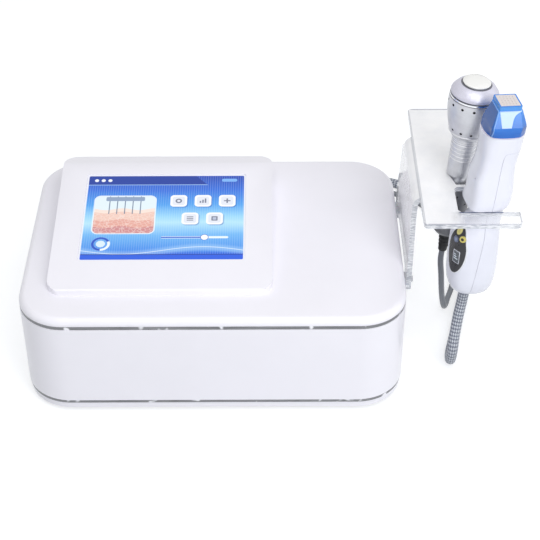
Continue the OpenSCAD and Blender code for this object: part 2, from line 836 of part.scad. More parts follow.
module stacked(ovals, grow) {
    skin([for (s = ovals) oval(s, grow, outer_sides)]);
}

module rf_hollow() {
    last = len(rf_ovals) - 1;
    skin([for (i = [1 : last]) let (
            s = rf_ovals[i],
            z = i == 1 ? s[0] + shell_wall : i == last ? s[0] + 1 : s[0]
        ) oval([z, s[1], s[2], s[3], corner_roundness(s)], -shell_wall, inner_sides)]);
}

// The rear cover meets the front shell on a plane that leans with the body, and ends below the head
seam_x = -3.9;
seam_lean = 2.5;
seam_top = 64;
seam_corner = 6;
seam_gap = 0.3;

module rear_cover_space(grow) {
    r = seam_corner + grow;
    translate([seam_x, 0, 0]) rotate([0, seam_lean, 0]) rotate([90, 0, 0])
        linear_extrude(100, center = true) {
            translate([-grow, -150]) square([100, 150 + seam_top - seam_corner]);
            translate([seam_corner, 0]) square([80, seam_top + grow]);
            translate([seam_corner, seam_top - seam_corner]) circle(r);
        }
}

// A frame on the lower body's left front, where the control panel sits, with Z square to it
panel_turn = 207;
panel_mid_z = -51;
panel_mid_x = -6.6;

module on_control_panel() {
    translate([panel_mid_x, 0, panel_mid_z]) rotate([0, 0, panel_turn]) rotate([0, 90, 0]) rotate([0, 0, 90])
        children();
}

// Keys by their place on the control panel, sideways and up
trigger_at = [5.6, 16.4];
mode_at = [-1.6, 13.2];
level_at = [-1.8, 21.6];
key_clear = 0.35;
key_z0 = 12;
key_flange_z = 1.5;
key_flange = 0.65;
panel_skin_t = 0.7;
key_stand = 1;
display_w = 8.4;
display_h = 15;
display_at = [2, -6];
panel_half_w = 12;
panel_half_h = 27;

module key_holes() {
    for (k = [trigger_at, mode_at, level_at]) translate([k[0], k[1], key_z0])
        cylinder(r = key_d / 2 + key_clear, h = 60);
}

module panel_outline() {
    n = 48;
    translate([0, 0, 8]) linear_extrude(50)
        polygon([for (i = [0 : n - 1]) [panel_half_w * cos(360 * i / n), panel_half_h * sin(360 * i / n)]]);
}

module display_outline(grow) {
    translate([display_at[0], display_at[1], 8])
        rounded_box([display_w + 2 * grow, display_h + 2 * grow, 50], 1 + grow);
}

module rf_panel() {
    color([0.13, 0.13, 0.16]) at_rf() difference() {
        intersection() {
            stacked(low_ovals, panel_skin_t);
            on_control_panel() panel_outline();
        }
        stacked(low_ovals, 0);
        on_control_panel() key_holes();
        on_control_panel() display_outline(0.2);
    }
}

module rf_display() {
    color([0.5, 0.55, 0.6]) at_rf() difference() {
        intersection() {
            stacked(low_ovals, panel_skin_t - 0.2);
            on_control_panel() display_outline(0);
        }
        stacked(low_ovals, 0);
    }
}

// Inside the head: a bulkhead that carries the motor below it and the cartridge's seat above it
bulkhead_z = 66;
bulkhead_t = 3;
seat_z = bulkhead_z + bulkhead_t;
seat_h = 10;
plug_r = 12.3;
axis_x = rim[1];
gland_x = -7;
gland_r = 7;
gland_z0 = -109;
gland_flange_z = rf_ovals[1][0] + shell_wall;

module rf_walls() {
    difference() {
        stacked(rf_ovals, 0);
        difference() {
            rf_hollow();
            translate([-50, -50, bulkhead_z]) cube([100, 100, bulkhead_t]);
        }
        translate([axis_x, 0, bulkhead_z - 5]) cylinder(r = 6, h = 20);
        on_control_panel() key_holes();
        translate([gland_x, 0, -130]) cylinder(r = gland_r + 0.1, h = 60);
        // Small hole of a reset key on the left flank
        translate([-4, 0, 34]) rotate([0, 0, 213]) rotate([0, 90, 0]) cylinder(r = 0.8, h = 40);
    }
}

module rf_front_shell() {
    color("white") at_rf() difference() {
        rf_walls();
        rear_cover_space(seam_gap);
    }
}

module rf_rear_shell() {
    color("white") at_rf() intersection() {
        rf_walls();
        rear_cover_space(0);
    }
}

module handpiece_board() {
    color([0.1, 0.35, 0.2]) at_rf() on_control_panel() {
        translate([-10.5, -26, 8]) cube([21, 51, 1.6]);
        for (k = [trigger_at, mode_at, level_at]) translate([k[0], k[1], 9.5]) cylinder(r = 2, h = 1.7);
        translate([-5, -22, 9.5]) cube([10, 8, 2]);
    }
}

module needle_motor() {
    color("silver") at_rf() translate([axis_x, 0, 0]) difference() {
        union() {
            translate([0, 0, 30]) cylinder(r = 11, h = bulkhead_z - 30);
            translate([0, 0, bulkhead_z - 3]) cylinder(r = 13, h = 3);
        }
        translate([0, 0, 40]) cylinder(r = rod_d / 2 + 0.06, h = 30);
    }
}

module cartridge_seat() {
    seat_wall = 3.6;
    color([0.8, 0.81, 0.84]) at_rf() translate([axis_x, 0, seat_z])
        tube(plug_r + gap + seat_wall, plug_r + gap, seat_h);
}

module rf_gland() {
    color([0.8, 0.81, 0.84]) at_rf() translate([gland_x, 0, 0]) {
        translate([0, 0, gland_z0]) cylinder(r = gland_r, h = gland_flange_z + 3 - gland_z0);
        translate([0, 0, gland_flange_z]) cylinder(r = gland_r + 1.3, h = 3);
    }
}

module panel_key(at) {
    at_rf() {
        intersection() {
            stacked(low_ovals, key_stand);
            on_control_panel() translate([at[0], at[1], key_z0]) cylinder(r = key_d / 2, h = 40);
        }
        intersection() {
            stacked(low_ovals, -shell_wall - gap);
            on_control_panel() translate([at[0], at[1], key_z0])
                cylinder(r = key_d / 2 + key_flange, h = key_flange_z);
        }
    }
}

module trigger_key() {
    color([0.85, 0.8, 0.42]) panel_key(trigger_at);
}

module mode_key() {
    color([0.5, 0.55, 0.65]) panel_key(mode_at);
}

module level_key() {
    color([0.8, 0.76, 0.5]) panel_key(level_at);
}

// Needle cartridge, which stands on the handpiece's rim and plugs into the seat

cart_z0 = rim[0] + gap;
cart_top = 110;
plug_bottom = seat_z + 2;
stem_z0 = 86;
stem_r = 3;
carrier_t = 3;
needle_n = 5;
needle_pitch = 3;
needle_r = 0.2;
needle_hole_r = 0.5;
face_t = 2.4;
carrier_z = cart_top - face_t - needle_travel - 2 * gap - carrier_t;
face_side = needle_face - 2.8;
corner_points = 4;

function mix(a, b, t) = a * (1 - t) + b * t;

// Outline of the tip: a rectangle from x = -l to r and y = -b to b, whose corners are cut. The cuts are
// those of its front right, back right, back left and front left corners.
function cut_corners(l, r, b, cuts) = [
    [r, cuts[0] - b], [r, b - cuts[1]], [r - cuts[1], b], [cuts[2] - l, b],
    [-l, b - cuts[2]], [-l, cuts[3] - b], [cuts[3] - l, -b], [r - cuts[0], -b],
];

// Radius of the rim's oval in a direction
function rim_radius(a) = 1 / pow(pow(abs(cos(a)) / (rf_half_w * rim[2]), roundness)
    + pow(abs(sin(a)) / (rf_half_d * rim[3]), roundness), 1 / roundness);

// One ring between the rim's oval, at share 0, and the cut rectangle, at share 1
function tip_ring(z, share, l, r, b, cuts) = let (c = cut_corners(l, r, b, cuts)) [
    for (i = [0 : 7], j = [0 : corner_points - 1]) let (
        p = mix(c[i], c[(i + 1) % 8], j / corner_points),
        q = atan2(p[1], p[0]),
        o = rim_radius(q) * [cos(q), sin(q)],
        m = mix(o, p, share)
    ) [m[0] + axis_x, m[1], z]
];

tip_half = needle_face / 2;
tip_h = 4.4;
cavity = 14.8;

module cartridge_body() {
    color([0.25, 0.58, 0.9]) at_rf() difference() {
        union() {
            skin([
                tip_ring(cart_z0, 0.3, 17.4, 18, 18.6, [7, 9, 9, 3]),
                tip_ring(cart_z0 + 1.6, 0.4, 17.5, 18, 18.8, [7, 9, 9, 2.5]),
                tip_ring(cart_z0 + 5, 0.7, 17.6, 17.8, 18.8, [7, 9, 9, 2]),
                tip_ring(cart_z0 + 9, 1, 17.6, 17.4, 18.6, [6, 9, 9, 1.6]),
                tip_ring(cart_z0 + 11.5, 1, 17.2, 16.9, 17.9, [5.6, 8.6, 9, 1.5]),
                tip_ring(cart_top - tip_h - 0.5, 1, tip_half + 1.5, tip_half + 1.3, tip_half + 1.2,
                    [2.5, 4, 4, 1]),
                tip_ring(cart_top - tip_h, 0.99, tip_half + 0.2, tip_half + 0.2, tip_half + 0.2,
                    [1.2, 1.2, 1.2, 1.2]),
            ]);
            translate([axis_x, 0, cart_top - tip_h - 2]) linear_extrude(tip_h + 2)
                polygon(cut_corners(tip_half, tip_half, tip_half, [0.8, 0.8, 0.8, 0.8]));
            translate([axis_x, 0, plug_bottom]) cylinder(r = plug_r, h = cart_z0 + 1 - plug_bottom);
        }
        translate([axis_x, 0, 0]) {
            translate([0, 0, plug_bottom - 1]) cylinder(r = stem_r + 0.06, h = 30);
            translate([0, 0, plug_bottom - 1]) tube(plug_r - 2, stem_r + 2.4, cart_z0 - plug_bottom + 3);
            translate([-cavity / 2, -cavity / 2, carrier_z - 8])
                cube([cavity, cavity, cart_top - carrier_z + 9]);
            translate([-face_side / 2 - 0.1, -face_side / 2 - 0.1, cart_top - face_t])
                cube([face_side + 0.2, face_side + 0.2, face_t + 1]);
        }
    }
}

module at_needles() {
    half = needle_pitch * (needle_n - 1) / 2;
    for (i = [0 : needle_n - 1], j = [0 : needle_n - 1])
        translate([axis_x + i * needle_pitch - half, j * needle_pitch - half, 0]) children();
}

module cartridge_face() {
    color([0.86, 0.84, 0.83]) at_rf() difference() {
        translate([axis_x - face_side / 2, -face_side / 2, cart_top - face_t])
            cube([face_side, face_side, face_t]);
        at_needles() translate([0, 0, cart_top - face_t - 1])
            cylinder(r = needle_hole_r, h = face_t + 2, $fn = 24);
    }
}

module needle_carrier() {
    color([0.85, 0.75, 0.45]) at_rf() {
        translate([axis_x - 7.2, -7.2, carrier_z]) cube([14.4, 14.4, carrier_t]);
        translate([axis_x, 0, stem_z0]) cylinder(r = stem_r, h = carrier_z - stem_z0 + 1);
        at_needles() translate([0, 0, carrier_z + carrier_t - 0.5])
            cylinder(r = needle_r, h = cart_top - 0.8 - carrier_z - carrier_t + 0.5, $fn = 16);
    }
}

module push_rod() {
    color("silver") at_rf() translate([axis_x, 0, 44]) cylinder(r = rod_d / 2, h = stem_z0 - gap - 44);
}

// Cooling handpiece, turned about its own axis; each profile point is [radius, height]

head_wall = 2;
cone_z = 91.2;
cone_top_z = 102.2;
cone_top_r = cold_r + 0.5;
barrel_z0 = 46.4;
barrel_z1 = 88;
barrel_wide_z = 82;
barrel_low_r = 15.5;
ring_low_h = 5;
grip_top_z = 45;
shoulder_z = 1.3;
housing_z0 = -69;
housing_z1 = -7;
housing_r = 16;
relief_len = 24.5;

function barrel_r(z) = z > barrel_wide_z ? head_r - 0.004 * pow(z - barrel_wide_z, 2)
    : head_r - (head_r - barrel_low_r) * pow((barrel_wide_z - z) / (barrel_wide_z - barrel_z0), 1.9);

module turned(points) {
    rotate_extrude($fn = 96) polygon(points);
}

module cold_plate() {
    color([0.95, 0.95, 0.95]) at_ice() {
        turned([
            [0, cone_top_z], [cold_r - 0.8, cone_top_z], [cold_r - 0.8, cone_top_z + 0.6],
            [cold_r, cone_top_z + 0.9], [cold_r, cone_top_z + 1.6], [cold_r - 0.8, cone_top_z + 2.2],
            [cold_r * 0.5, cone_top_z + 2.7], [0, cone_top_z + 2.9],
        ]);
    }
}

module head_cone() {
    low_r = head_r - 0.9;
    color([0.82, 0.83, 0.9]) at_ice() turned([
        [low_r, cone_z], [low_r + 0.3, cone_z + 2], [low_r - 0.2, cone_z + 3.6], [low_r - 3.8, cone_z + 8.3],
        [cone_top_r + 0.6, cone_z + 10.8], [cone_top_r, cone_top_z], [0, cone_top_z], [0, cone_top_z - 1.6],
        [cone_top_r - 1.4, cone_top_z - 1.6], [low_r - 5.6, cone_z + 7.6], [low_r - head_wall, cone_z + 3],
        [low_r - head_wall, cone_z],
    ]);
}

module chrome_ring() {
    r = head_r - 0.4;
    color("silver") at_ice() turned([
        [r - head_wall - 1, barrel_z1], [r - 0.4, barrel_z1], [r, barrel_z1 + 0.6], [r, cone_z - 0.6],
        [r - 0.4, cone_z], [r - head_wall - 1, cone_z],
    ]);
}

module row_of_holes(z, n, first) {
    for (i = [0 : n - 1]) rotate([0, 0, first + i * 360 / n]) translate([8, 0, z]) rotate([0, 90, 0])
        cylinder(r = 1, h = 30, $fn = 24);
}

module head_barrel() {
    steps = 12;
    zs = [for (i = [0 : steps]) barrel_z0 + ring_low_h + (barrel_z1 - barrel_z0 - ring_low_h) * i / steps];
    color([0.78, 0.78, 0.8]) at_ice() difference() {
        turned(concat(
            [[grip_top_r + 0.05, barrel_z0], [barrel_low_r - 0.4, barrel_z0],
                [barrel_low_r + 0.2, barrel_z0 + 0.6], [barrel_r(zs[0]) + 0.5, zs[0] - 0.9],
                [barrel_r(zs[0]) + 0.3, zs[0] - 0.3]],
            [for (z = zs) [barrel_r(z), z]],
            [for (i = [steps : -1 : 1]) [barrel_r(zs[i]) - head_wall, zs[i]]],
            [[barrel_r(zs[0]) - head_wall - 0.6, zs[0]], [grip_top_r + 0.05, zs[0]]]
        ));
        row_of_holes(83.5, 13, 210);
        row_of_holes(55.5, 12, 212);
    }
}

groove_w = 1;
groove_deep = 0.6;

module ribbed_grip() {
    slope = (grip_top_r - grip_low_r) / (grip_top_z - shoulder_z);
    color([0.8, 0.8, 0.82]) at_ice() difference() {
        turned([
            [neck_r, shoulder_z], [grip_low_r - 0.4, shoulder_z], [grip_low_r, shoulder_z + 0.5],
            [grip_top_r, grip_top_z], [grip_top_r, grip_top_z + 6], [grip_top_r - head_wall, grip_top_z + 6],
            [neck_r - head_wall, shoulder_z + 3], [neck_r - head_wall, housing_z1 - 1.5],
            [neck_r, housing_z1 - 1.5],
        ]);
        for (i = [0 : 4]) let (z = 21 + i * 4.4, r = grip_low_r + slope * (z - shoulder_z) - groove_deep)
            translate([0, 0, z]) tube(20, r, groove_w);
        for (z = [41, 43]) translate([0, 0, z]) tube(20, grip_top_r - groove_deep, groove_w / 2);
    }
}

module rear_housing() {
    color([0.25, 0.25, 0.26]) at_ice() difference() {
        turned([
            [neck_r + 0.05, housing_z1], [housing_r - 3, housing_z1], [housing_r, housing_z1 - 4],
            [housing_r, housing_z0 + 5], [housing_r - 4, housing_z0], [0, housing_z0],
            [0, housing_z0 + head_wall],
            [housing_r - 4.5, housing_z0 + head_wall], [housing_r - head_wall, housing_z0 + 5.6],
            [housing_r - head_wall, housing_z1 - 4.6], [housing_r - 4, housing_z1 - 2],
            [neck_r + 0.05, housing_z1 - 2],
        ]);
        for (z = [-18, -28]) row_of_holes(z, 10, 20);
    }
}

module cooling_stack() {
    sink_r = 14;
    sink_z = 62;
    sink_h = 34;
    block_w = 16;
    color([0.7, 0.72, 0.75]) at_ice() {
        translate([-block_w / 2, -block_w / 2, sink_z + sink_h - tiny])
            cube([block_w, block_w, cone_top_z - 1.6 - sink_z - sink_h]);
        difference() {
            translate([0, 0, sink_z]) cylinder(r = sink_r, h = sink_h);
            for (i = [-3 : 3]) translate([i * 3.6 - 0.9, -30, sink_z - 1]) cube([1.8, 60, sink_h - 3]);
        }
        translate([0, 0, housing_z1 - 20]) cylinder(r = 4, h = sink_z + sink_h - housing_z1 + 15);
    }
}

module ice_relief() {
    ribs = 4;
    color([0.08, 0.08, 0.08]) at_ice() {
        turned([
            [0, housing_z0 - relief_len], [ice_cable_d / 2 + 1.4, housing_z0 - relief_len],
            [5.2, housing_z0 - 11], [6.5, housing_z0], [0, housing_z0],
        ]);
        for (i = [0 : ribs - 1]) let (z = housing_z0 - 5 - i * 4.6, r = 6.6 - i * 0.5)
            translate([0, 0, z]) cylinder(r = r, h = 2);
    }
}

// Cables. A route is a list of hand-chosen points in the console's own frame, from the handpiece to
// its coil. The coil is wound in two layers behind the console, and its tail rises to the connector.

turn_rings = 24;
coil_sides = 6;
climb = 0.5;
table_clear = 0.1;

function lean_y(p, a) = [p[0] * cos(a) + p[2] * sin(a), p[1], p[2] * cos(a) - p[0] * sin(a)];
function turn_z(p, a) = [p[0] * cos(a) - p[1] * sin(a), p[0] * sin(a) + p[1] * cos(a), p[2]];
function from_rf(p) = [rf_x, slot_y, shelf_top] + lean_y(turn_z(p, rf_turn), rf_lean);
function from_ice(p) = [ice_x, notch_y, shelf_top] + lean_y(p, ice_lean);
function unit(v) = v / norm(v);
function ease(t) = t <= 0 ? 0 : t >= 1 ? 1 : t < 0.5 ? 2 * t * t : 1 - 2 * (1 - t) * (1 - t);

// Slope of stretch i at point k. The first and the last stretch are straight.
function path_slope(p, i, k) = let (n = len(p) - 1)
    i == 0 ? p[1] - p[0]
    : i == n - 1 ? p[n] - p[n - 1]
    : k == 1 ? unit(p[1] - p[0]) * norm(p[2] - p[1])
    : k == n - 1 ? unit(p[n] - p[n - 1]) * norm(p[n - 1] - p[n - 2])
    : (p[k + 1] - p[k - 1]) / 2;

function between(a, b, sa, sb, t) = a * (1 + 2 * t) * (1 - t) * (1 - t) + sa * t * (1 - t) * (1 - t)
    + b * t * t * (3 - 2 * t) + sb * t * t * (t - 1);

// Smooth curve through the points, with n rings a stretch
function curve(p, n) = concat(
    [for (i = [0 : len(p) - 2], j = [0 : n - 1])
        between(p[i], p[i + 1], path_slope(p, i, i), path_slope(p, i, i + 1), j / n)],
    [p[len(p) - 1]]
);

function heading(p, i) = unit(p[min(i + 1, len(p) - 1)] - p[max(i - 1, 0)]);
function square_to(v, t) = unit(v - t * (v * t));

module round_cord(p, dia, sides) {
    n = len(p);
    side = [
        for (i = 0, s = square_to([0.2, 1, 0.1], heading(p, 0)); i < n;
            i = i + 1, s = i < n ? square_to(s, heading(p, i)) : s) s
    ];
    skin([
        for (i = [0 : n - 1]) let (b = cross(heading(p, i), side[i])) [
            for (k = [0 : sides - 1]) let (a = 360 * k / sides)
                p[i] + (side[i] * cos(a) + b * sin(a)) * dia / 2
        ]
    ]);
}

// Coil that starts at its back, heading left, and spirals in on the table and out again above
function coil_z(dia, t, turns) = dia / 2 + table_clear
    + (dia + 0.6) * ease((t - turns / 2 + climb / 2) / climb);
function coil_at(c, r_out, turns, dia, t) = let (
        r = r_out - (dia + 0.7) * min(t, turns - t),
        a = 90 + 360 * t
    ) [c[0] + r * cos(a), c[1] + r * sin(a), coil_z(dia, t, turns)];
function coil_path(c, r_out, turns, dia) = concat(
    [coil_at(c, r_out, turns, dia, 0) + [dia, 0, 0]],
    [for (i = [0 : turns * turn_rings]) coil_at(c, r_out, turns, dia, i / turn_rings)],
    [coil_at(c, r_out, turns, dia, turns) - [0, dia, 0]]
);
function least_gap(p, dia) = min([for (i = [0 : len(p) - 1]) for (j = [i + turn_rings / 2 : len(p) - 1])
    norm(p[i] - p[j]) - dia]);

// Tail that rises from the coil's end to the back of its connector, straight at both ends
tail_end = 1;
function tail_path(a, b, n) = concat(
    [a],
    [for (i = [0 : n]) let (t = i / n)
        [mix(a[0], b[0], t), mix(a[1] - tail_end, b[1] + tail_end, t), mix(a[2], b[2], ease(t))]],
    [b]
);

// Places of a route's points: under a handpiece, along the console's side and behind it
function under(x, y, z) = [plate_out_x + x, slot_y + y, z];
function beside(x, share, z) = [plate_out_x + x, share * console_d, z];
function behind(x, y, z) = [plate_out_x + x, back_y + y, z];

rf_coil_r = 64;
rf_coil_mid = [rf_socket_x + rf_coil_r, back_y + 75.5];
rf_coil_turns = 3.25;
rf_coil = coil_path(rf_coil_mid, rf_coil_r, rf_coil_turns, rf_cable_d);
rf_connector_len = 26;
rf_lie = rf_cable_d / 2 + table_clear;
rf_route = concat(
    [from_rf([gland_x, 0, gland_z0]), from_rf([gland_x, 0, gland_z0 - rf_cable_d])],
    [
        under(48.5, -5.5, 72), under(45.5, -12.5, 52), under(44, -17.5, 34), under(44.3, -9.5, 14.6),
        under(46.8, 10.5, rf_lie),
        beside(54, -0.103, rf_lie), beside(61, 0, rf_lie), beside(71, 0.147, rf_lie),
        beside(81, 0.293, rf_lie), beside(86, 0.44, rf_lie),
        behind(84, 17.5, rf_lie), behind(73, 55.5, rf_lie), behind(50, 90.5, rf_lie),
        behind(18, 113.5, rf_lie), behind(-25, 128.5, rf_lie), behind(-68, 138, rf_lie),
        [rf_coil_mid[0] + 75, rf_coil_mid[1] + rf_coil_r, rf_lie],
    ],
    [rf_coil[0]]
);

ice_coil_r = 39;
ice_coil_mid = [ice_socket_x + ice_coil_r, back_y + 71];
ice_coil_turns = 5.25;
ice_coil = coil_path(ice_coil_mid, ice_coil_r, ice_coil_turns, ice_cable_d);
ice_connector_len = 20;
ice_lie = ice_cable_d / 2 + table_clear;
ice_route = concat(
    [from_ice([0, 0, housing_z0 - relief_len]), from_ice([0, 0, housing_z0 - relief_len - ice_cable_d])],
    [
        under(35.5, 46.5, 80), under(39, 54.5, 50), under(44, 68.5, 23), under(49, 86.5, 7),
        beside(54, 0.139, ice_lie), beside(61, 0.22, ice_lie), beside(66, 0.344, ice_lie),
        behind(66, 3.5, ice_lie), behind(58, 44.5, ice_lie), behind(38, 77.5, ice_lie),
        behind(10, 98.5, ice_lie),
        [ice_coil_mid[0] + 30, ice_coil_mid[1] + ice_coil_r, ice_lie],
    ],
    [ice_coil[0]]
);

module rf_cable() {
    color([0.5, 0.52, 0.55]) at_machine() round_cord(curve(rf_route, 2), rf_cable_d, 10);
}

module rf_cable_coil() {
    echo(str("Least gap between the turns of the thick coil: ", least_gap(rf_coil, rf_cable_d)));
    color([0.5, 0.52, 0.55]) at_machine() round_cord(rf_coil, rf_cable_d, coil_sides);
}

module rf_cable_tail() {
    color([0.5, 0.52, 0.55]) at_machine() round_cord(tail_path(rf_coil[len(rf_coil) - 1],
        [rf_socket_x, panel_out_y + rf_connector_len, socket_z], 8), rf_cable_d, 10);
}

module ice_cable() {
    color([0.42, 0.44, 0.47]) at_machine() round_cord(curve(ice_route, 2), ice_cable_d, 8);
}

module ice_cable_coil() {
    echo(str("Least gap between the turns of the thin coil: ", least_gap(ice_coil, ice_cable_d)));
    color([0.42, 0.44, 0.47]) at_machine() round_cord(ice_coil, ice_cable_d, coil_sides);
}

module ice_cable_tail() {
    color([0.42, 0.44, 0.47]) at_machine() round_cord(tail_path(ice_coil[len(ice_coil) - 1],
        [ice_socket_x, panel_out_y + ice_connector_len, socket_z], 8), ice_cable_d, 8);
}

module connector(x, length, collar_r, cable_r) {
    collar_end = length * 0.7;
    color([0.6, 0.61, 0.63]) at_machine() on_panel(x, socket_z) {
        translate([0, 0, -plug_nose_h]) cylinder(r = plug_nose_r, h = plug_nose_h + socket_flange_h + 1);
        difference() {
            translate([0, 0, socket_flange_h]) cylinder(r = collar_r, h = collar_end - socket_flange_h);
            for (i = [0 : 3]) translate([0, 0, socket_flange_h + 2 + i * 2])
                tube(collar_r + 5, collar_r - 0.5, 0.8);
        }
        translate([0, 0, collar_end])
            cylinder(r1 = collar_r - 1.2, r2 = cable_r + 0.8, h = length - collar_end);
    }
}

module rf_connector() {
    connector(rf_socket_x, rf_connector_len, 9, rf_cable_d / 2);
}

module ice_connector() {
    connector(ice_socket_x, ice_connector_len, 8, ice_cable_d / 2);
}

bottom_tray();
lower_trim();
body_band();
upper_trim();
top_cover();
screen_bezel();
touch_glass();
display();
rubber_feet();
case_screws();
rear_panel();
rear_screws();
mains_inlet();
fuse_drawer();
switch_frame();
power_rocker();
fan_frame();
fan_rotor();
fan_guard();
rf_socket();
ice_socket();
chassis_plate();
main_board();
power_supply();
rf_board();
rf_heat_sink();
holder_sheet();
holder_spacers();
holder_screws();
rf_front_shell();
rf_rear_shell();
rf_panel();
rf_display();
handpiece_board();
needle_motor();
cartridge_seat();
rf_gland();
trigger_key();
mode_key();
level_key();
push_rod();
cartridge_body();
cartridge_face();
needle_carrier();
cold_plate();
head_cone();
chrome_ring();
head_barrel();
ribbed_grip();
rear_housing();
cooling_stack();
ice_relief();
rf_cable();
rf_cable_coil();
rf_cable_tail();
rf_connector();
ice_cable();
ice_cable_coil();
ice_cable_tail();
ice_connector();
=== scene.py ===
"""Microneedling machine: a console with a tilted screen, a clear holder and two handpieces on cables.

Sizes are millimetres in the console's own frame, or in a piece's own frame, and MM makes them metres.
Lamps are in metres.
"""

import json
import math

import bmesh
import bpy
from mathutils import Matrix, Vector


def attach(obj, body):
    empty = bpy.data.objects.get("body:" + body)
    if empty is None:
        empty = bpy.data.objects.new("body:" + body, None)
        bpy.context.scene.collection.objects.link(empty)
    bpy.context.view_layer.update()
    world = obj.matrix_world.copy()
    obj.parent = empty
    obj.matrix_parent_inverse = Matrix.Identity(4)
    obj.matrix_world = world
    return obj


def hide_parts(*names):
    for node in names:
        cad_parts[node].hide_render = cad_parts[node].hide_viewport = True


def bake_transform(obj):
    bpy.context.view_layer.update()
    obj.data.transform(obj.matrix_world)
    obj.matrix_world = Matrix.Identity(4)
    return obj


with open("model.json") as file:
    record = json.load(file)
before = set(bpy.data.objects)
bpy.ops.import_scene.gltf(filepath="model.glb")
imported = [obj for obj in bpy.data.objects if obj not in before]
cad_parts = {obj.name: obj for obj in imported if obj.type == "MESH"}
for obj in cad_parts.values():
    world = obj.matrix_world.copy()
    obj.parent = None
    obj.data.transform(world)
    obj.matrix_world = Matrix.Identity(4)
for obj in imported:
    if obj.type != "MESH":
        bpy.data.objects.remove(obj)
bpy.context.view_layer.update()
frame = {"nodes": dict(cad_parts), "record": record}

MM = 0.001

# Where the pieces stand. The console's own frame is a little off the middle of the whole machine.
CONSOLE_SHIFT = Vector((-50.3, -1.6, 0))
SHELF_TOP = 210.6
NEEDLING_AT = Vector((264.6, -66.5, SHELF_TOP))
NEEDLING_LEAN = 3.9
NEEDLING_TURN = 10
COOLING_AT = Vector((240.1, -22.5, SHELF_TOP))
COOLING_LEAN = 5.2
SCREEN_EDGE = Vector((-51.7, -98.5, 126.7))
SCREEN_TILT = 8.1
PANEL_AT = (-6.6, 0, -51)
PANEL_TURN = 207


def turned(axis, degrees):
    return Matrix.Rotation(math.radians(degrees), 4, axis)


def moved(place):
    return Matrix.Translation(place)


CONSOLE = moved(CONSOLE_SHIFT)
NEEDLING = CONSOLE @ moved(NEEDLING_AT) @ turned("Y", NEEDLING_LEAN) @ turned("Z", NEEDLING_TURN)
COOLING = CONSOLE @ moved(COOLING_AT) @ turned("Y", COOLING_LEAN)
SCREEN = CONSOLE @ moved(SCREEN_EDGE) @ turned("X", SCREEN_TILT)
KEY_PANEL = NEEDLING @ moved(PANEL_AT) @ turned("Z", PANEL_TURN) @ turned("Y", 90) @ turned("Z", 90)


# Camera

CAMERA_AT = Vector((5.95, -1146.77, 984.3))
CAMERA_DOWN = 38.52
CAMERA_ROLL = -0.205
CAMERA_LENS = 92.929
CAMERA_SENSOR = 36
FAR_VIEW = 20


def place_camera():
    data = bpy.data.cameras.new("Camera")
    data.lens = CAMERA_LENS
    data.sensor_width = CAMERA_SENSOR
    data.clip_end = FAR_VIEW
    camera = bpy.data.objects.new("Camera", data)
    bpy.context.scene.collection.objects.link(camera)
    aim = turned("X", 90 - CAMERA_DOWN) @ turned("Z", CAMERA_ROLL)
    camera.matrix_world = moved(CAMERA_AT * MM) @ aim
    bpy.context.scene.camera = camera


# Cables

BRAID_D = 11
BRAID_LIE = 5.6
GLAND = (-7, 0, -109)
BRAID_ROUTE = [
    (246.5, -72, 72), (243.5, -79, 52), (242, -84, 34), (242.3, -76, 14.6), (244.8, -56, BRAID_LIE),
    (252, -28.1, BRAID_LIE), (259, 0, BRAID_LIE), (269, 40.1, BRAID_LIE), (279, 80, BRAID_LIE),
    (284, 120.1, BRAID_LIE), (282, 154, BRAID_LIE), (271, 192, BRAID_LIE), (248, 227, BRAID_LIE),
    (216, 250, BRAID_LIE), (173, 265, BRAID_LIE), (130, 274.5, BRAID_LIE), (60, 276, BRAID_LIE),
]
BRAID_COIL = {"middle": (-15, 212), "radius": 64, "turns": 3.25}
BRAID_SOCKET = (-79, 162.3, 31)

THIN_D = 6
THIN_LIE = 3.1
RELIEF_END = (0, 0, -93.5)
THIN_ROUTE = [
    (233.5, -20, 80), (237, -12, 50), (242, 2, 23), (247, 20, 7), (252, 37.9, THIN_LIE),
    (259, 60.1, THIN_LIE), (264, 93.9, THIN_LIE), (264, 140, THIN_LIE), (256, 181, THIN_LIE),
    (236, 214, THIN_LIE), (208, 235, THIN_LIE), (180, 246.5, THIN_LIE),
]
THIN_COIL = {"middle": (150, 207.5), "radius": 39, "turns": 5.25}
THIN_SOCKET = (111, 156.3, 31)

RINGS_PER_TURN = 24
RINGS_PER_STRETCH = 12
TABLE_CLEAR = 0.1
TURN_GAP = 0.7
LAYER_GAP = 0.6
# Share of a turn in which a coil climbs to its upper layer
CLIMB = 0.5
TAIL_END = 1
TAIL_STEPS = 16
# Metres between the rings of each cable's tube, and how finely its section is rounded
BRAID_STEP = 0.004
BRAID_CORNERS = 5
THIN_STEP = 0.003
THIN_CORNERS = 4


def eased(t):
    """0 to 1 with a soft start and a soft end"""
    if t <= 0:
        return 0.0
    if t >= 1:
        return 1.0
    return 2 * t * t if t < 0.5 else 1 - 2 * (1 - t) ** 2


def route_slope(points, stretch, i):
    """Slope of one stretch at a point. The first and the last stretch are straight."""
    last = len(points) - 1
    if stretch == 0:
        return points[1] - points[0]
    if stretch == last - 1:
        return points[last] - points[last - 1]
    if i == 1:
        return (points[1] - points[0]).normalized() * (points[2] - points[1]).length
    if i == last - 1:
        way = (points[last] - points[last - 1]).normalized()
        return way * (points[last - 1] - points[last - 2]).length
    return (points[i + 1] - points[i - 1]) / 2


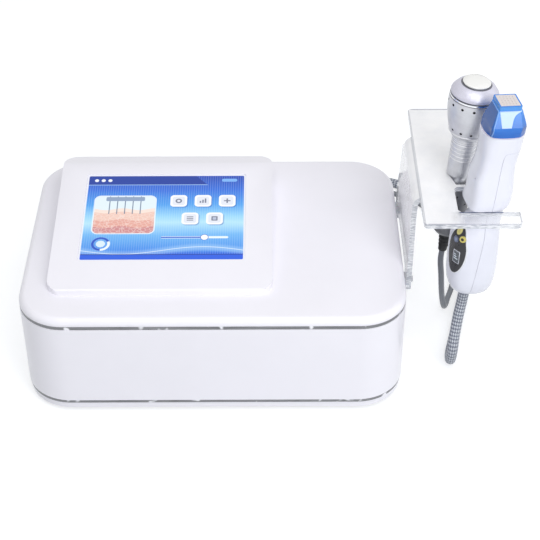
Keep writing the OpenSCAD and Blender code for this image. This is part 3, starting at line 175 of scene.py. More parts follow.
def smooth_route(points):
    """The route as a smooth line whose first and last stretches are straight"""
    line = []
    for i in range(len(points) - 1):
        a, b = points[i], points[i + 1]
        leave, arrive = route_slope(points, i, i), route_slope(points, i, i + 1)
        for j in range(RINGS_PER_STRETCH):
            t = j / RINGS_PER_STRETCH
            line.append(
                a * (1 + 2 * t) * (1 - t) ** 2
                + leave * t * (1 - t) ** 2
                + b * t * t * (3 - 2 * t)
                + arrive * t * t * (t - 1)
            )
    return line + [points[-1]]


def coil_point(coil, diameter, t):
    """Middle of the cable after t turns of its coil"""
    turns = coil["turns"]
    radius = coil["radius"] - (diameter + TURN_GAP) * min(t, turns - t)
    angle = math.radians(90 + 360 * t)
    rise = eased((t - turns / 2 + CLIMB / 2) / CLIMB)
    return Vector((
        coil["middle"][0] + radius * math.cos(angle),
        coil["middle"][1] + radius * math.sin(angle),
        diameter / 2 + TABLE_CLEAR + (diameter + LAYER_GAP) * rise,
    ))


def coil_line(coil, diameter):
    """Winds in towards the middle on the table, climbs, and winds out again on top"""
    count = round(coil["turns"] * RINGS_PER_TURN)
    line = [coil_point(coil, diameter, i / RINGS_PER_TURN) for i in range(count + 1)]
    start = line[0] + Vector((diameter, 0, 0))
    end = line[-1] - Vector((0, diameter, 0))
    return [start] + line + [end]


def tail_line(a, b):
    """From the coil's end up to the connector, straight for the first and the last millimetre"""
    low, high = a - Vector((0, TAIL_END, 0)), b + Vector((0, TAIL_END, 0))
    rise = []
    for i in range(TAIL_STEPS + 1):
        t = i / TAIL_STEPS
        point = low.lerp(high, t)
        point.z = low.z + (high.z - low.z) * eased(t)
        rise.append(point)
    return rise + [b]


def cable_line(piece_frame, start, diameter, route, coil, socket):
    """The whole cable in metres in the machine's frame, from the handpiece to its connector"""
    to_console = CONSOLE.inverted() @ piece_frame
    first = Vector(start)
    begin = [to_console @ first, to_console @ (first - Vector((0, 0, diameter)))]
    wound = coil_line(coil, diameter)
    line = smooth_route(begin + [Vector(p) for p in route] + [wound[0]])
    line += wound[1:] + tail_line(wound[-1], Vector(socket))
    return [(p + CONSOLE_SHIFT) * MM for p in line]


def even_line(line, step):
    """The same line with its points an even step apart, so that a braid keeps its pitch"""
    lengths = [0.0]
    for a, b in zip(line, line[1:]):
        lengths.append(lengths[-1] + (b - a).length)
    count = round(lengths[-1] / step)
    even, k = [], 0
    for i in range(count + 1):
        at = lengths[-1] * i / count
        while k < len(line) - 2 and lengths[k + 1] < at:
            k += 1
        share = (at - lengths[k]) / (lengths[k + 1] - lengths[k])
        even.append(line[k].lerp(line[k + 1], share))
    return even, lengths[-1]


def cable_tube(name, line, diameter, corners):
    """A tube along the line, with its length in U and its way round in V"""
    curve = bpy.data.curves.new(name, "CURVE")
    curve.dimensions = "3D"
    curve.bevel_depth = diameter / 2
    curve.bevel_resolution = corners
    curve.use_fill_caps = True
    spline = curve.splines.new("POLY")
    spline.points.add(len(line) - 1)
    for point, at in zip(spline.points, line):
        point.co = (*at, 1)
    shaped = bpy.data.objects.new(name + "_line", curve)
    mesh = bpy.data.meshes.new_from_object(shaped)
    bpy.data.objects.remove(shaped)
    bpy.data.curves.remove(curve)
    mesh.shade_smooth()
    return show(name, mesh)


def show(name, mesh):
    """A new object in the scene that carries the mesh"""
    mesh.name = name
    piece = bpy.data.objects.new(name, mesh)
    bpy.context.scene.collection.objects.link(piece)
    return piece


def follow_handpiece(cable):
    """Bakes the cable's placement into its mesh; the cable is not tied to its handpiece"""
    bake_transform(cable)


def lay_cables():
    """Each cable runs from its handpiece to the table, round to its coil and up to its connector"""
    whole = cable_line(NEEDLING, GLAND, BRAID_D, BRAID_ROUTE, BRAID_COIL, BRAID_SOCKET)
    line, braid_length = even_line(whole, BRAID_STEP)
    braid = cable_tube("braided_cable", line, BRAID_D * MM, BRAID_CORNERS)
    braid.data.materials.append(braided_sleeve(braid_length / MM))
    follow_handpiece(braid)
    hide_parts("rf_cable", "rf_cable_coil", "rf_cable_tail")
    whole = cable_line(COOLING, RELIEF_END, THIN_D, THIN_ROUTE, THIN_COIL, THIN_SOCKET)
    line, thin_length = even_line(whole, THIN_STEP)
    thin = cable_tube("thin_cable", line, THIN_D * MM, THIN_CORNERS)
    thin.data.materials.append(grey_jacket())
    follow_handpiece(thin)
    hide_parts("ice_cable", "ice_cable_coil", "ice_cable_tail")


# Materials


def tint(code):
    """Linear colour of a web colour such as #f2f2fa"""
    shares = [int(code[i:i + 2], 16) / 255 for i in (1, 3, 5)]
    return tuple(c / 12.92 if c <= 0.04045 else ((c + 0.055) / 1.055) ** 2.4 for c in shares) + (1,)


def darkened(colour, share):
    return tuple(c * (1 - share) for c in colour[:3]) + (1,)


# Size of a moulded surface's soft patches, and the share by which its gloss varies over them
CLOUD_SIZE = 38
UNEVEN_GLOSS = 0.04


class Finish:
    """The node sheet of one material, with short calls for the nodes that the finishes share"""

    def __init__(self, name):
        self.material = bpy.data.materials.new(name)
        self.material.use_nodes = True
        self.tree = self.material.node_tree
        self.shader = self.tree.nodes["Principled BSDF"]

    def node(self, kind, **settings):
        made = self.tree.nodes.new(kind)
        for key, value in settings.items():
            setattr(made, key, value)
        return made

    def feed(self, socket, value):
        """Links a socket to the value, or sets it where the value is plain"""
        if isinstance(value, bpy.types.NodeSocket):
            self.tree.links.new(value, socket)
        else:
            socket.default_value = value

    def set(self, **values):
        """Plain values and links on the shader's own sockets, with _ for a space in their names"""
        for key, value in values.items():
            self.feed(self.shader.inputs[key.replace("_", " ")], value)

    def math(self, operation, a, b=0.0):
        made = self.node("ShaderNodeMath", operation=operation)
        self.feed(made.inputs[0], a)
        self.feed(made.inputs[1], b)
        return made.outputs[0]

    def times(self, a, b):
        return self.math("MULTIPLY", a, b)

    def larger(self, a, b):
        return self.math("MAXIMUM", a, b)

    def vector(self, operation, a, b=(0, 0, 0)):
        made = self.node("ShaderNodeVectorMath", operation=operation)
        self.feed(made.inputs[0], a)
        self.feed(made.inputs[1], b)
        return made.outputs["Value" if operation in ("LENGTH", "DISTANCE", "DOT_PRODUCT") else "Vector"]

    def place(self, piece_frame=CONSOLE):
        """Millimetres in a piece's own frame"""
        spot = self.node("ShaderNodeTexCoord").outputs["Object"]
        mapping = self.node("ShaderNodeMapping", vector_type="TEXTURE")
        self.feed(mapping.inputs["Vector"], spot)
        mapping.inputs["Location"].default_value = piece_frame.translation * MM
        mapping.inputs["Rotation"].default_value = piece_frame.to_euler("XYZ")
        mapping.inputs["Scale"].default_value = (MM, MM, MM)
        return mapping.outputs["Vector"]

    def parts(self, vector):
        split = self.node("ShaderNodeSeparateXYZ")
        self.feed(split.inputs[0], vector)
        return split.outputs

    def noise(self, vector, size, detail=2.0, stretch=None):
        """Cloudy noise with patches of about `size` millimetres, stretched by axis if asked"""
        if stretch:
            vector = self.vector("DIVIDE", vector, stretch)
        made = self.node("ShaderNodeTexNoise")
        self.feed(made.inputs["Vector"], vector)
        made.inputs["Scale"].default_value = 1 / size
        made.inputs["Detail"].default_value = detail
        return made.outputs["Fac"]

    def ramp(self, value, low, high, to_low=0.0, to_high=1.0, smooth=False):
        """Goes from to_low to to_high while the value goes from low to high"""
        made = self.node("ShaderNodeMapRange", interpolation_type="SMOOTHSTEP" if smooth else "LINEAR")
        for socket, number in zip(made.inputs, (value, low, high, to_low, to_high)):
            self.feed(socket, number)
        return made.outputs[0]

    def mix(self, share, one, two):
        """Colour `one` where the share is 0, `two` where it is 1"""
        made = self.node("ShaderNodeMix", data_type="RGBA")
        self.feed(made.inputs[0], share)
        self.feed(made.inputs[6], one)
        self.feed(made.inputs[7], two)
        return made.outputs[2]

    def relief(self, height, depth):
        """Bump from a height of 0 to 1 that stands for `depth` millimetres"""
        made = self.node("ShaderNodeBump")
        made.inputs["Distance"].default_value = depth * MM
        self.feed(made.inputs["Height"], height)
        return made.outputs["Normal"]

    def box(self, flat, middle, half, corner=0.0, soft=0.25):
        """1 inside a rounded box of a flat drawing, 0 outside"""
        away = self.vector("ABSOLUTE", self.vector("SUBTRACT", flat, (*middle, 0)))
        past = self.vector("SUBTRACT", away, (half[0] - corner, half[1] - corner, 0))
        reach = self.vector("LENGTH", self.vector("MAXIMUM", past, (0, 0, 0)))
        return self.ramp(reach, corner + soft, max(corner - soft, 0), smooth=True)

    def disc(self, flat, middle, radius, soft=0.25):
        """1 inside a round spot of a flat drawing, 0 outside"""
        reach = self.vector("DISTANCE", flat, (*middle, 0))
        return self.ramp(reach, radius + soft, radius - soft, smooth=True)

    def band(self, value, low, high, soft=0.25):
        """1 between low and high, 0 outside"""
        rise = self.ramp(value, low - soft, low + soft, smooth=True)
        fall = self.ramp(value, high - soft, high + soft, 1.0, 0.0, smooth=True)
        return self.times(rise, fall)


def moulded_finish(name, code, rough, grain, depth, mottle, piece_frame=CONSOLE):
    """Moulded or cast surface with a fine grain, whose colour and gloss vary a little"""
    f = Finish(name)
    spot = f.place(piece_frame)
    cloud = f.noise(spot, CLOUD_SIZE, 3)
    colour = tint(code)
    f.set(
        Base_Color=f.mix(f.ramp(cloud, 0.35, 0.65), darkened(colour, mottle), colour),
        Roughness=f.ramp(cloud, 0.3, 0.7, rough * (1 - UNEVEN_GLOSS), rough * (1 + UNEVEN_GLOSS)),
        Normal=f.relief(f.noise(spot, grain, 2), depth),
    )
    return f


def bare_metal(name, dark, bright, size, stretch, gloss, depth, detail=4, piece_frame=CONSOLE, metal=1):
    """Metal whose tool marks, stretched along its working direction, change its colour and gloss"""
    f = Finish(name)
    marks = f.noise(f.place(piece_frame), size, detail, stretch=stretch)
    f.set(
        Base_Color=f.mix(marks, tint(dark), tint(bright)),
        Metallic=metal,
        Roughness=f.ramp(marks, 0.2, 0.8, *gloss),
        Normal=f.relief(marks, depth),
    )
    return f.material


def case_plastic():
    f = moulded_finish("White case plastic", "#f1f0f8", 0.3, grain=2.5, depth=0.004, mottle=0.012)
    f.set(Coat_Weight=0.25, Coat_Roughness=0.12)
    return f.material


def trim_strip():
    """Grey satin metal with faint lengthwise streaks, and small painted highlights in place of reflected
    lamps
    """
    f = Finish("Grey trim strip")
    spot = f.place()
    streak = f.noise(spot, 6, 3, stretch=(6, 6, 0.15))
    # Painted highlights: bright spots of noise that stand for the lamps' glints on the metal
    painted_glint = f.ramp(f.noise(spot, 11, 1), 0.66, 0.74)
    grey = f.mix(f.ramp(streak, 0.3, 0.7), tint("#6c6d70"), tint("#8c8d90"))
    f.set(
        Base_Color=f.mix(painted_glint, grey, tint("#e6e6ea")),
        Metallic=0.85,
        Roughness=f.ramp(streak, 0.3, 0.7, 0.22, 0.38),
        Normal=f.relief(streak, 0.02),
    )
    return f.material


# The screen's picture: places are across from its middle and up from its lower edge
PICTURE_START = 42
PICTURE_HALF_W = 81.2
PICTURE_H = 121.8
SKIN_PANEL = (-41, 64)
SKIN_PANEL_HALF = (31, 27)
TILES = [(14, 84), (39, 84), (64, 84), (26.5, 58), (51.5, 58)]
TILE_HALF = 8.6
TILE_RIM = 2.2
SLIDER = (32, 31)
SLIDER_HALF = 34
DIAL = (-62, 22)
SCREEN_GLOW = 0.55
HAZE_LIFT = 0.035
STRIPE_STEP = 2.4
HEADER_LINE = 107.8
HEADER_LOW = 108.6
HEADER_HIGH = 140
HEADER_SLANT = 0.9
HEADER_END = 141
HEADER_SIGNS_UP = 115
HEADER_SIGNS_FROM = -73
HEADER_SIGN_STEP = 7
FOOT_LINE = (6.6, 7.6)
NEEDLES_SHOWN = 5
NEEDLES_FROM = -16
NEEDLE_STEP = 8


def picture_sky(f, across, up, flat):
    """Blue ground of the picture, with a bright glow across its middle and fine upright stripes"""
    sky = f.node("ShaderNodeValToRGB")
    stops = [
        (0.0, "#2c62dd"), (0.07, "#2f6de0"), (0.1, "#3f8ae8"), (0.28, "#6fb6f2"), (0.43, "#b5e4fb"),
        (0.5, "#9ad6f8"), (0.64, "#4fa2ee"), (0.82, "#2f6fdc"), (1.0, "#1f49b4"),
    ]
    ramp = sky.color_ramp
    while len(ramp.elements) < len(stops):
        ramp.elements.new(0.5)
    for element, (at, colour) in zip(ramp.elements, stops):
        element.position = at
        element.color = tint(colour)
    haze = f.noise(flat, 30, 3, stretch=(2.4, 0.7, 1))
    height = f.math("DIVIDE", up, PICTURE_H)
    f.feed(sky.inputs["Fac"], f.math("ADD", height, f.ramp(haze, 0, 1, -HAZE_LIFT, HAZE_LIFT)))
    stripe = f.math("SINE", f.times(across, 2 * math.pi / STRIPE_STEP))
    colour = f.mix(f.ramp(stripe, 0.2, 1, 0, 0.12), sky.outputs["Color"], tint("#e4f4ff"))
    swell = f.times(f.math("SINE", f.math("DIVIDE", across, 26)), 5)
    crest = f.math("SUBTRACT", up, swell)
    wave = f.band(crest, 8, 16, 3)
    colour = f.mix(f.times(wave, 0.35), colour, tint("#bfe6fb"))
    return f.mix(f.band(crest, 12.4, 13, 0.3), colour, tint("#eaf7ff"))


def picture_header(f, colour, flat, across, up):
    """A dark bar with a slanting end, three round signs at its left and a pill at its right"""
    end = f.ramp(f.math("ADD", across, f.times(up, HEADER_SLANT)), HEADER_END, HEADER_END - 1)
    bar = f.times(f.band(up, HEADER_LOW, HEADER_HIGH), end)
    colour = f.mix(bar, colour, tint("#1d3f9f"))
    line = f.times(f.band(up, HEADER_LINE, HEADER_LOW + 0.1, 0.2), end)
    colour = f.mix(line, colour, tint("#9fc4f6"))
    for i in range(3):
        sign = (HEADER_SIGNS_FROM + HEADER_SIGN_STEP * i, HEADER_SIGNS_UP)
        colour = f.mix(f.disc(flat, sign, 2.1), colour, tint("#f4f8ff"))
    return f.mix(f.box(flat, (66, HEADER_SIGNS_UP), (8, 2.2), 2.1), colour, tint("#7db4f5"))


def picture_skin(f, colour, flat, across, up):
    """A pale panel that shows a cut through soft wavy layers, with fine needles over it"""
    low, high = SKIN_PANEL[1] - SKIN_PANEL_HALF[1], SKIN_PANEL[1] + SKIN_PANEL_HALF[1]
    panel = f.box(flat, SKIN_PANEL, SKIN_PANEL_HALF, 6)
    rim = f.box(flat, SKIN_PANEL, (SKIN_PANEL_HALF[0] + 1.2, SKIN_PANEL_HALF[1] + 1.2), 7)
    colour = f.mix(f.times(rim, 0.85), colour, tint("#f2f9ff"))
    ripple = f.times(f.math("SINE", f.math("DIVIDE", across, 5.5)), 1.3)
    level = f.math("ADD", up, ripple)
    layers = tint("#e3f1fa")
    skin = ((high - 19, "#f6e3d8"), (high - 24, "#efc9bb"), (high - 35, "#e5a99c"), (low + 9, "#cf8d8f"))
    for top, code in skin:
        layers = f.mix(f.ramp(level, top + 0.4, top - 0.4), layers, tint(code))
    cells = f.node("ShaderNodeTexVoronoi", feature="DISTANCE_TO_EDGE")
    f.feed(cells.inputs["Vector"], f.vector("DIVIDE", flat, (4.4, 3.2, 1)))
    cells.inputs["Scale"].default_value = 1
    seam = f.times(f.ramp(cells.outputs[0], 0.1, 0.02), f.ramp(level, high - 24, high - 26))
    layers = f.mix(f.times(seam, 0.45), layers, tint("#fbeee8"))
    for i in range(NEEDLES_SHOWN):
        at = SKIN_PANEL[0] + NEEDLES_FROM + NEEDLE_STEP * i
        layers = f.mix(f.box(flat, (at, high - 13), (0.5, 13), 0.4), layers, tint("#6f7f99"))
    layers = f.mix(f.box(flat, (SKIN_PANEL[0], high - 4), (20, 3), 1.5), layers, tint("#8fa2bf"))
    return f.mix(panel, colour, layers)


def picture_tiles(f, colour, flat):
    """Five white rounded buttons, each with a plain grey sign"""
    for middle in TILES:
        shade = f.box(flat, (middle[0] + 1, middle[1] - 1.2), (TILE_HALF, TILE_HALF), 4, 1)
        colour = f.mix(f.times(shade, 0.55), colour, tint("#1c4fae"))
        colour = f.mix(f.box(flat, middle, (TILE_HALF, TILE_HALF), 4), colour, tint("#fafbff"))
        field = f.box(flat, middle, (TILE_HALF - TILE_RIM, TILE_HALF - TILE_RIM), 2.5)
        colour = f.mix(field, colour, tint("#e4e8f3"))
    grey = tint("#7d8397")
    (ax, ay), (bx, by), (cx, cy), (dx, dy), (ex, ey) = TILES
    colour = f.mix(f.disc(flat, (ax, ay), 3.4), colour, grey)
    colour = f.mix(f.disc(flat, (ax, ay), 1.7), colour, tint("#e4e8f3"))
    for i in range(3):
        bar = f.box(flat, (bx - 2.6 + 2.6 * i, by - 1.6 + 0.9 * i), (0.8, 1.4 + 0.9 * i), 0.2)
        colour = f.mix(bar, colour, grey)
        line = f.box(flat, (dx, dy - 2.4 + 2.4 * i), (3.4, 0.6), 0.4)
        colour = f.mix(line, colour, grey)
    for half in ((3.4, 0.8), (0.8, 3.4)):
        colour = f.mix(f.box(flat, (cx, cy), half, 0.3), colour, grey)
    colour = f.mix(f.box(flat, (ex, ey), (3.2, 3.2), 0.8), colour, grey)
    return f.mix(f.box(flat, (ex, ey), (1.8, 1.8), 0.5), colour, tint("#b9c2d8"))


def picture_controls(f, colour, flat):
    """A slider with its knob, and a round dial whose ring is part filled"""
    colour = f.mix(f.box(flat, SLIDER, (SLIDER_HALF, 1.5), 1.4), colour, tint("#e9f5ff"))
    filled = f.box(flat, (SLIDER[0] - 12, SLIDER[1]), (SLIDER_HALF - 12, 0.9), 0.8)
    colour = f.mix(filled, colour, tint("#2a63cf"))
    knob = (SLIDER[0] + 10, SLIDER[1])
    colour = f.mix(f.disc(flat, knob, 4.2), colour, tint("#1f57c2"))
    colour = f.mix(f.disc(flat, knob, 3.6), colour, tint("#fbfcff"))
    ring = f.math("SUBTRACT", f.disc(flat, DIAL, 9.5), f.disc(flat, DIAL, 6.8))
    colour = f.mix(ring, colour, tint("#eef7ff"))
    away = f.parts(f.vector("SUBTRACT", flat, (*DIAL, 0)))
    turn = f.math("ARCTAN2", away[0], away[1])
    filled = f.times(ring, f.ramp(turn, 1.2, 1.1))
    colour = f.mix(filled, colour, tint("#2458c6"))
    return f.mix(f.disc(flat, DIAL, 4.6), colour, tint("#d9edff"))


def lit_picture():
    """Touch glass with the picture behind it: a generic menu of panels, buttons, a slider and a dial"""
    f = Finish("Lit screen picture")
    spot = f.place(SCREEN)
    flat = f.vector("MULTIPLY", f.vector("SUBTRACT", spot, (0, PICTURE_START, 0)), (1, 1, 0))
    across, up, _ = f.parts(flat)
    colour = picture_sky(f, across, up, flat)
    colour = picture_header(f, colour, flat, across, up)
    colour = picture_skin(f, colour, flat, across, up)
    colour = picture_tiles(f, colour, flat)
    colour = picture_controls(f, colour, flat)
    colour = f.mix(f.ramp(up, 7.2, FOOT_LINE[0]), colour, tint("#2a5fe0"))
    colour = f.mix(f.band(up, *FOOT_LINE, 0.2), colour, tint("#1f3f9c"))
    edge = f.box(flat, (0, PICTURE_H / 2), (PICTURE_HALF_W, PICTURE_H / 2), 1.5, 0.2)
    colour = f.mix(edge, tint("#eceef6"), colour)
    smear = f.noise(spot, 24, 3)
    f.set(
        Base_Color=f.mix(0.5, tint("#000000"), colour),
        Emission_Color=colour,
        Emission_Strength=SCREEN_GLOW,
        Roughness=f.ramp(smear, 0.35, 0.7, 0.07, 0.16),
        Normal=f.relief(smear, 0.004),
        Specular_IOR_Level=0.4,
    )
    return f.material


def display_back():
    return bare_metal(
        "Display frame metal", "#5d6067", "#7f838a", size=3, stretch=(8, 0.5, 0.5),
        gloss=(0.3, 0.5), depth=0.02, detail=3, piece_frame=SCREEN, metal=0.8,
    )


def foot_rubber():
    f = moulded_finish("Foot rubber", "#2b2b2d", 0.8, grain=0.7, depth=0.06, mottle=0.25)
    f.set(Specular_IOR_Level=0.3)
    return f.material


def screw_steel():
    return bare_metal(
        "Screw steel", "#a9abb0", "#d2d4d8", size=0.8, stretch=(2.5, 0.6, 1),
        gloss=(0.18, 0.42), depth=0.015,
    )


def rear_panel_metal():
    """Powder-coated sheet: pale grey with a fine pebbled skin"""
    f = Finish("Rear panel coat")
    spot = f.place()
    pebble = f.noise(spot, 0.7, 3)
    patch = f.noise(spot, 30, 2)
    f.set(
        Base_Color=f.mix(f.ramp(patch, 0.3, 0.7), tint("#c3c5cb"), tint("#d0d2d8")),
        Metallic=0.15,
        Roughness=f.ramp(pebble, 0.2, 0.8, 0.42, 0.6),
        Normal=f.relief(pebble, 0.05),
    )
    return f.material


def fitting_plastic():
    f = moulded_finish("Black fitting plastic", "#26262a", 0.45, grain=0.6, depth=0.05, mottle=0.2)
    return f.material


def plated_steel():
    return bare_metal(
        "Plated steel", "#9c9ea4", "#cfd1d6", size=2, stretch=(4, 0.6, 0.6),
        gloss=(0.2, 0.38), depth=0.012,
    )


def socket_metal():
    """Turned nickel with fine rings about the socket's own axis"""
    return bare_metal(
        "Socket metal", "#8f9196", "#bcbec3", size=0.8, stretch=(8, 0.35, 8),
        gloss=(0.22, 0.4), depth=0.02, detail=3,
    )


def board_lacquer():
    """Green lacquer over raised copper tracks and round soldered spots"""
    f = Finish("Board lacquer")
    spot = f.place()
    tracks = f.node("ShaderNodeTexBrick", offset=0.3, squash=0.6, squash_frequency=3)
    f.feed(tracks.inputs["Vector"], spot)
    layout = {"Scale": 0.2, "Mortar Size": 0.035, "Brick Width": 1.6, "Row Height": 0.5}
    for key, value in layout.items():
        tracks.inputs[key].default_value = value
    dots = f.node("ShaderNodeTexVoronoi")
    f.feed(dots.inputs["Vector"], spot)
    dots.inputs["Scale"].default_value = 0.16
    dot = f.ramp(dots.outputs["Distance"], 0.14, 0.11)
    green = f.mix(tracks.outputs["Fac"], tint("#1d5a35"), tint("#2c7a49"))
    f.set(
        Base_Color=f.mix(dot, green, tint("#c9ccd0")),
        Metallic=f.times(dot, 0.8),
        Roughness=f.ramp(f.noise(spot, 2), 0.3, 0.7, 0.25, 0.4),
        Normal=f.relief(f.math("ADD", tracks.outputs["Fac"], dot), 0.05),
    )
    return f.material


def sink_aluminium():
    return bare_metal(
        "Heat sink aluminium", "#a4a7ad", "#c8cad0", size=1.5, stretch=(0.4, 6, 0.4),
        gloss=(0.28, 0.45), depth=0.03,
    )


# The holder's shelf: its outline, its front arm and the slot behind that arm
SHELF_FRONT = -106.5
SHELF_BACK = 95.5
SHELF_START = 200
SHELF_END = 291.6
SHELF_ARM_BACK = -87
ARM_CLEARS = (225, 240)
SLOT_RIM = (234, 276)
# Past this X a face belongs to the shelf, and under this Z to the upright plate
SHELF_ZONE_X = 215
PLATE_ZONE_Z = 180
MILKY_COVER = 0.8
CLEAR_COVER = 0.13
CUT_COVER = 0.7
# A painted glow: light that the milky faces give off, as if passed on from behind, though the sheet is
# no lamp
PAINTED_SHEET_GLOW = 0.07


def cut_edges(f, x, z):
    """1 on the sawn edges of the sheet, told from its broad faces by the way they face"""
    facing = f.vector("ABSOLUTE", f.node("ShaderNodeNewGeometry").outputs["Normal"])
    along_x, along_y, along_z = f.parts(facing)
    on_shelf = f.times(f.ramp(x, SHELF_ZONE_X - 1, SHELF_ZONE_X), f.ramp(along_z, 0.5, 0.3))
    on_plate = f.times(f.ramp(z, PLATE_ZONE_Z, PLATE_ZONE_Z - 1), f.ramp(along_x, 0.5, 0.3))
    return f.larger(f.ramp(along_y, 0.5, 0.7), f.larger(on_shelf, on_plate))


def shelf_edge_shade(f, x, y, z):
    """Painted shade: a dark line on the shelf's top face along its outline and its front slot, standing
    for the shade and dark refraction at the sheet's edges
    """
    slot = f.times(f.band(y, SHELF_ARM_BACK - 1.5, SHELF_ARM_BACK + 0.3, 0.2), f.band(x, *SLOT_RIM, 1))
    border = f.ramp(y, SHELF_BACK - 2.6, SHELF_BACK - 2)
    border = f.larger(border, f.ramp(x, SHELF_END - 1.6, SHELF_END - 1.2))
    border = f.larger(border, f.ramp(y, SHELF_FRONT + 1.6, SHELF_FRONT + 1.2))
    border = f.times(border, f.ramp(x, SHELF_START + 2, SHELF_START + 4))
    top = f.ramp(z, SHELF_TOP - 0.7, SHELF_TOP - 0.3)
    edge_shade = f.times(f.larger(slot, f.times(border, 0.55)), top)
    side = f.band(x, SHELF_START - 1, SHELF_START + 1.6, 0.3)
    side = f.times(side, f.ramp(z, SHELF_TOP - 2.5, SHELF_TOP - 2))
    return f.larger(edge_shade, f.times(side, 0.4))


def holder_sheet():
    """Clear cast sheet: milky at its broad faces and clearer in the front arm, with painted shade and
    highlights at its cut edges and outline, and a painted glow
    """
    f = Finish("Clear holder sheet")
    spot = f.place()
    x, y, z = f.parts(spot)
    cut = cut_edges(f, x, z)
    edge_shade = shelf_edge_shade(f, x, y, z)
    arm = f.times(f.ramp(y, SHELF_ARM_BACK + 2, SHELF_ARM_BACK - 1), f.ramp(x, *ARM_CLEARS))
    streak = f.noise(spot, 14, 3, stretch=(1, 1, 4))
    scuff = f.noise(spot, 1.2, 4, stretch=(1, 3, 1))
    # The cut edges' dark and pale flecks are painted shade and highlights, standing for the light that
    # the edges bend
    painted_edge_flecks = f.noise(spot, 2.2, 3, stretch=(3, 3, 0.5))
    milk = f.mix(f.ramp(streak, 0.3, 0.7), tint("#f4f5f8"), tint("#fdfdfe"))
    grey = f.mix(f.ramp(painted_edge_flecks, 0.4, 0.6), tint("#8d95a6"), tint("#f0f3f8"))
    colour = f.mix(f.times(cut, 0.8), milk, grey)
    cover = f.ramp(arm, 0, 1, MILKY_COVER, CLEAR_COVER)
    cover = f.math("ADD", f.times(cover, f.math("SUBTRACT", 1, cut)), f.times(cut, CUT_COVER))
    f.set(
        # Painted shade: the dark edge lines in #5d6782, which are also opaque where they lie
        Base_Color=f.mix(edge_shade, colour, tint("#5d6782")),
        # Painted glow on the broad faces, none on the cut edges and the dark edge lines
        Emission_Color=tint("#fbfaff"),
        Emission_Strength=f.ramp(f.larger(cut, edge_shade), 0, 1, PAINTED_SHEET_GLOW, 0),
        Roughness=f.ramp(scuff, 0.35, 0.75, 0.05, 0.14),
        Alpha=f.larger(cover, edge_shade),
        Normal=f.relief(streak, 0.006),
        Coat_Weight=0.5,
        Coat_Roughness=0.04,
    )
    return f.material


def spacer_plastic():
    f = moulded_finish("Spacer plastic", "#e6e8ee", 0.35, grain=0.8, depth=0.02, mottle=0.06)
    f.set(Subsurface_Weight=0.15, Subsurface_Scale=0.002)
    return f.material


def handpiece_plastic():
    f = moulded_finish("White handpiece plastic", "#e9ebf7", 0.24, 2.2, 0.004, 0.02, NEEDLING)
    f.set(Coat_Weight=0.35, Coat_Roughness=0.08)
    return f.material


PANEL_HALF_W = 12
PANEL_HALF_H = 27
PANEL_RIM = 0.9


def dark_panel():
    """Dark oval control panel with a thin white rim line"""
    f = Finish("Dark control panel")
    spot = f.place(KEY_PANEL)
    flat = f.vector("MULTIPLY", spot, (1, 1, 0))
    inner = f.vector("DIVIDE", flat, (PANEL_HALF_W - PANEL_RIM, PANEL_HALF_H - PANEL_RIM, 1))
    rim = f.ramp(f.vector("LENGTH", inner), 0.985, 1.015)
    cloud = f.noise(spot, 9, 2)
    dark = f.mix(cloud, tint("#232326"), tint("#343437"))
    f.set(
        Base_Color=f.mix(rim, dark, tint("#e8eaf0")),
        Roughness=f.ramp(cloud, 0.3, 0.7, 0.25, 0.4),
        Normal=f.relief(f.noise(spot, 0.5, 2), 0.015),
    )
    return f.material


DISPLAY_AT = (2, -6)
DISPLAY_GLASS = (3.4, 6.7)


def small_display():
    """Silver-rimmed small display with pale bars on a dark ground"""
    f = Finish("Small display")
    spot = f.place(KEY_PANEL)
    flat = f.vector("MULTIPLY", f.vector("SUBTRACT", spot, (*DISPLAY_AT, 0)), (1, 1, 0))
    glass = f.box(flat, (0, 0), DISPLAY_GLASS, 0.6, 0.15)
    colour = f.mix(f.noise(spot, 5, 2), tint("#4d5257"), tint("#6a7076"))
    for i, half in enumerate((1.0, 1.7, 2.4)):
        bar = f.box(flat, (half - 2.6, 2.6 - 2.4 * i), (half, 0.6), 0.2, 0.1)
        colour = f.mix(bar, colour, tint("#d9e4ee"))
    f.set(
        Base_Color=f.mix(glass, tint("#d5d8de"), colour),
        Metallic=f.ramp(glass, 0, 1, 0.7, 0),
        Roughness=f.ramp(f.noise(spot, 1.4, 3), 0.3, 0.7, 0.1, 0.22),
        Normal=f.relief(f.noise(spot, 0.6, 2), 0.008),
    )
    return f.material


def collar_plastic():
    return moulded_finish("Grey collar plastic", "#c6c9d1", 0.35, 0.6, 0.02, 0.05, NEEDLING).material


KEY_R = 3.1
KEY_MIDDLE_SHARE = 0.52


def key_cap(name, middle, ring_code, centre_code):
    """Key cap with a coloured ring round a darker middle"""
    f = Finish(name)
    spot = f.place(KEY_PANEL)
    flat = f.vector("MULTIPLY", spot, (1, 1, 0))
    ring = f.mix(f.noise(spot, 4, 2), tint(ring_code), darkened(tint(ring_code), 0.12))
    colour = f.mix(f.disc(flat, middle, KEY_R * KEY_MIDDLE_SHARE, 0.2), ring, tint(centre_code))
    f.set(
        Base_Color=colour,
        Roughness=f.ramp(f.noise(spot, 2.5, 2), 0.3, 0.7, 0.28, 0.42),
        Normal=f.relief(f.noise(spot, 0.4, 2), 0.012),
    )
    return f.material


# Heights of the cartridge: its foot line, where it grows paler, its slope and its top band
CARTRIDGE_FOOT = (80, 81.2)
CARTRIDGE_PALER = (84, 104)
CARTRIDGE_SLOPE = (91.5, 105.5)
CARTRIDGE_TOP = (106, 109.4)
# X of the left edge, and X less Y of the right chamfer, at the slope's foot and at its top
LEFT_EDGE = (-16.6, -12.4)
CHAMFER_EDGE = (28.5, 22)
# X of the pale patch's two sides there, how far the right one flares, and the Y where the patch sets in
PATCH_LEFT = (-8.5, -10.9)
PATCH_RIGHT = (0.5, 3.5)
PATCH_FLARE = 7.5
PATCH_Y = (-8, -10)


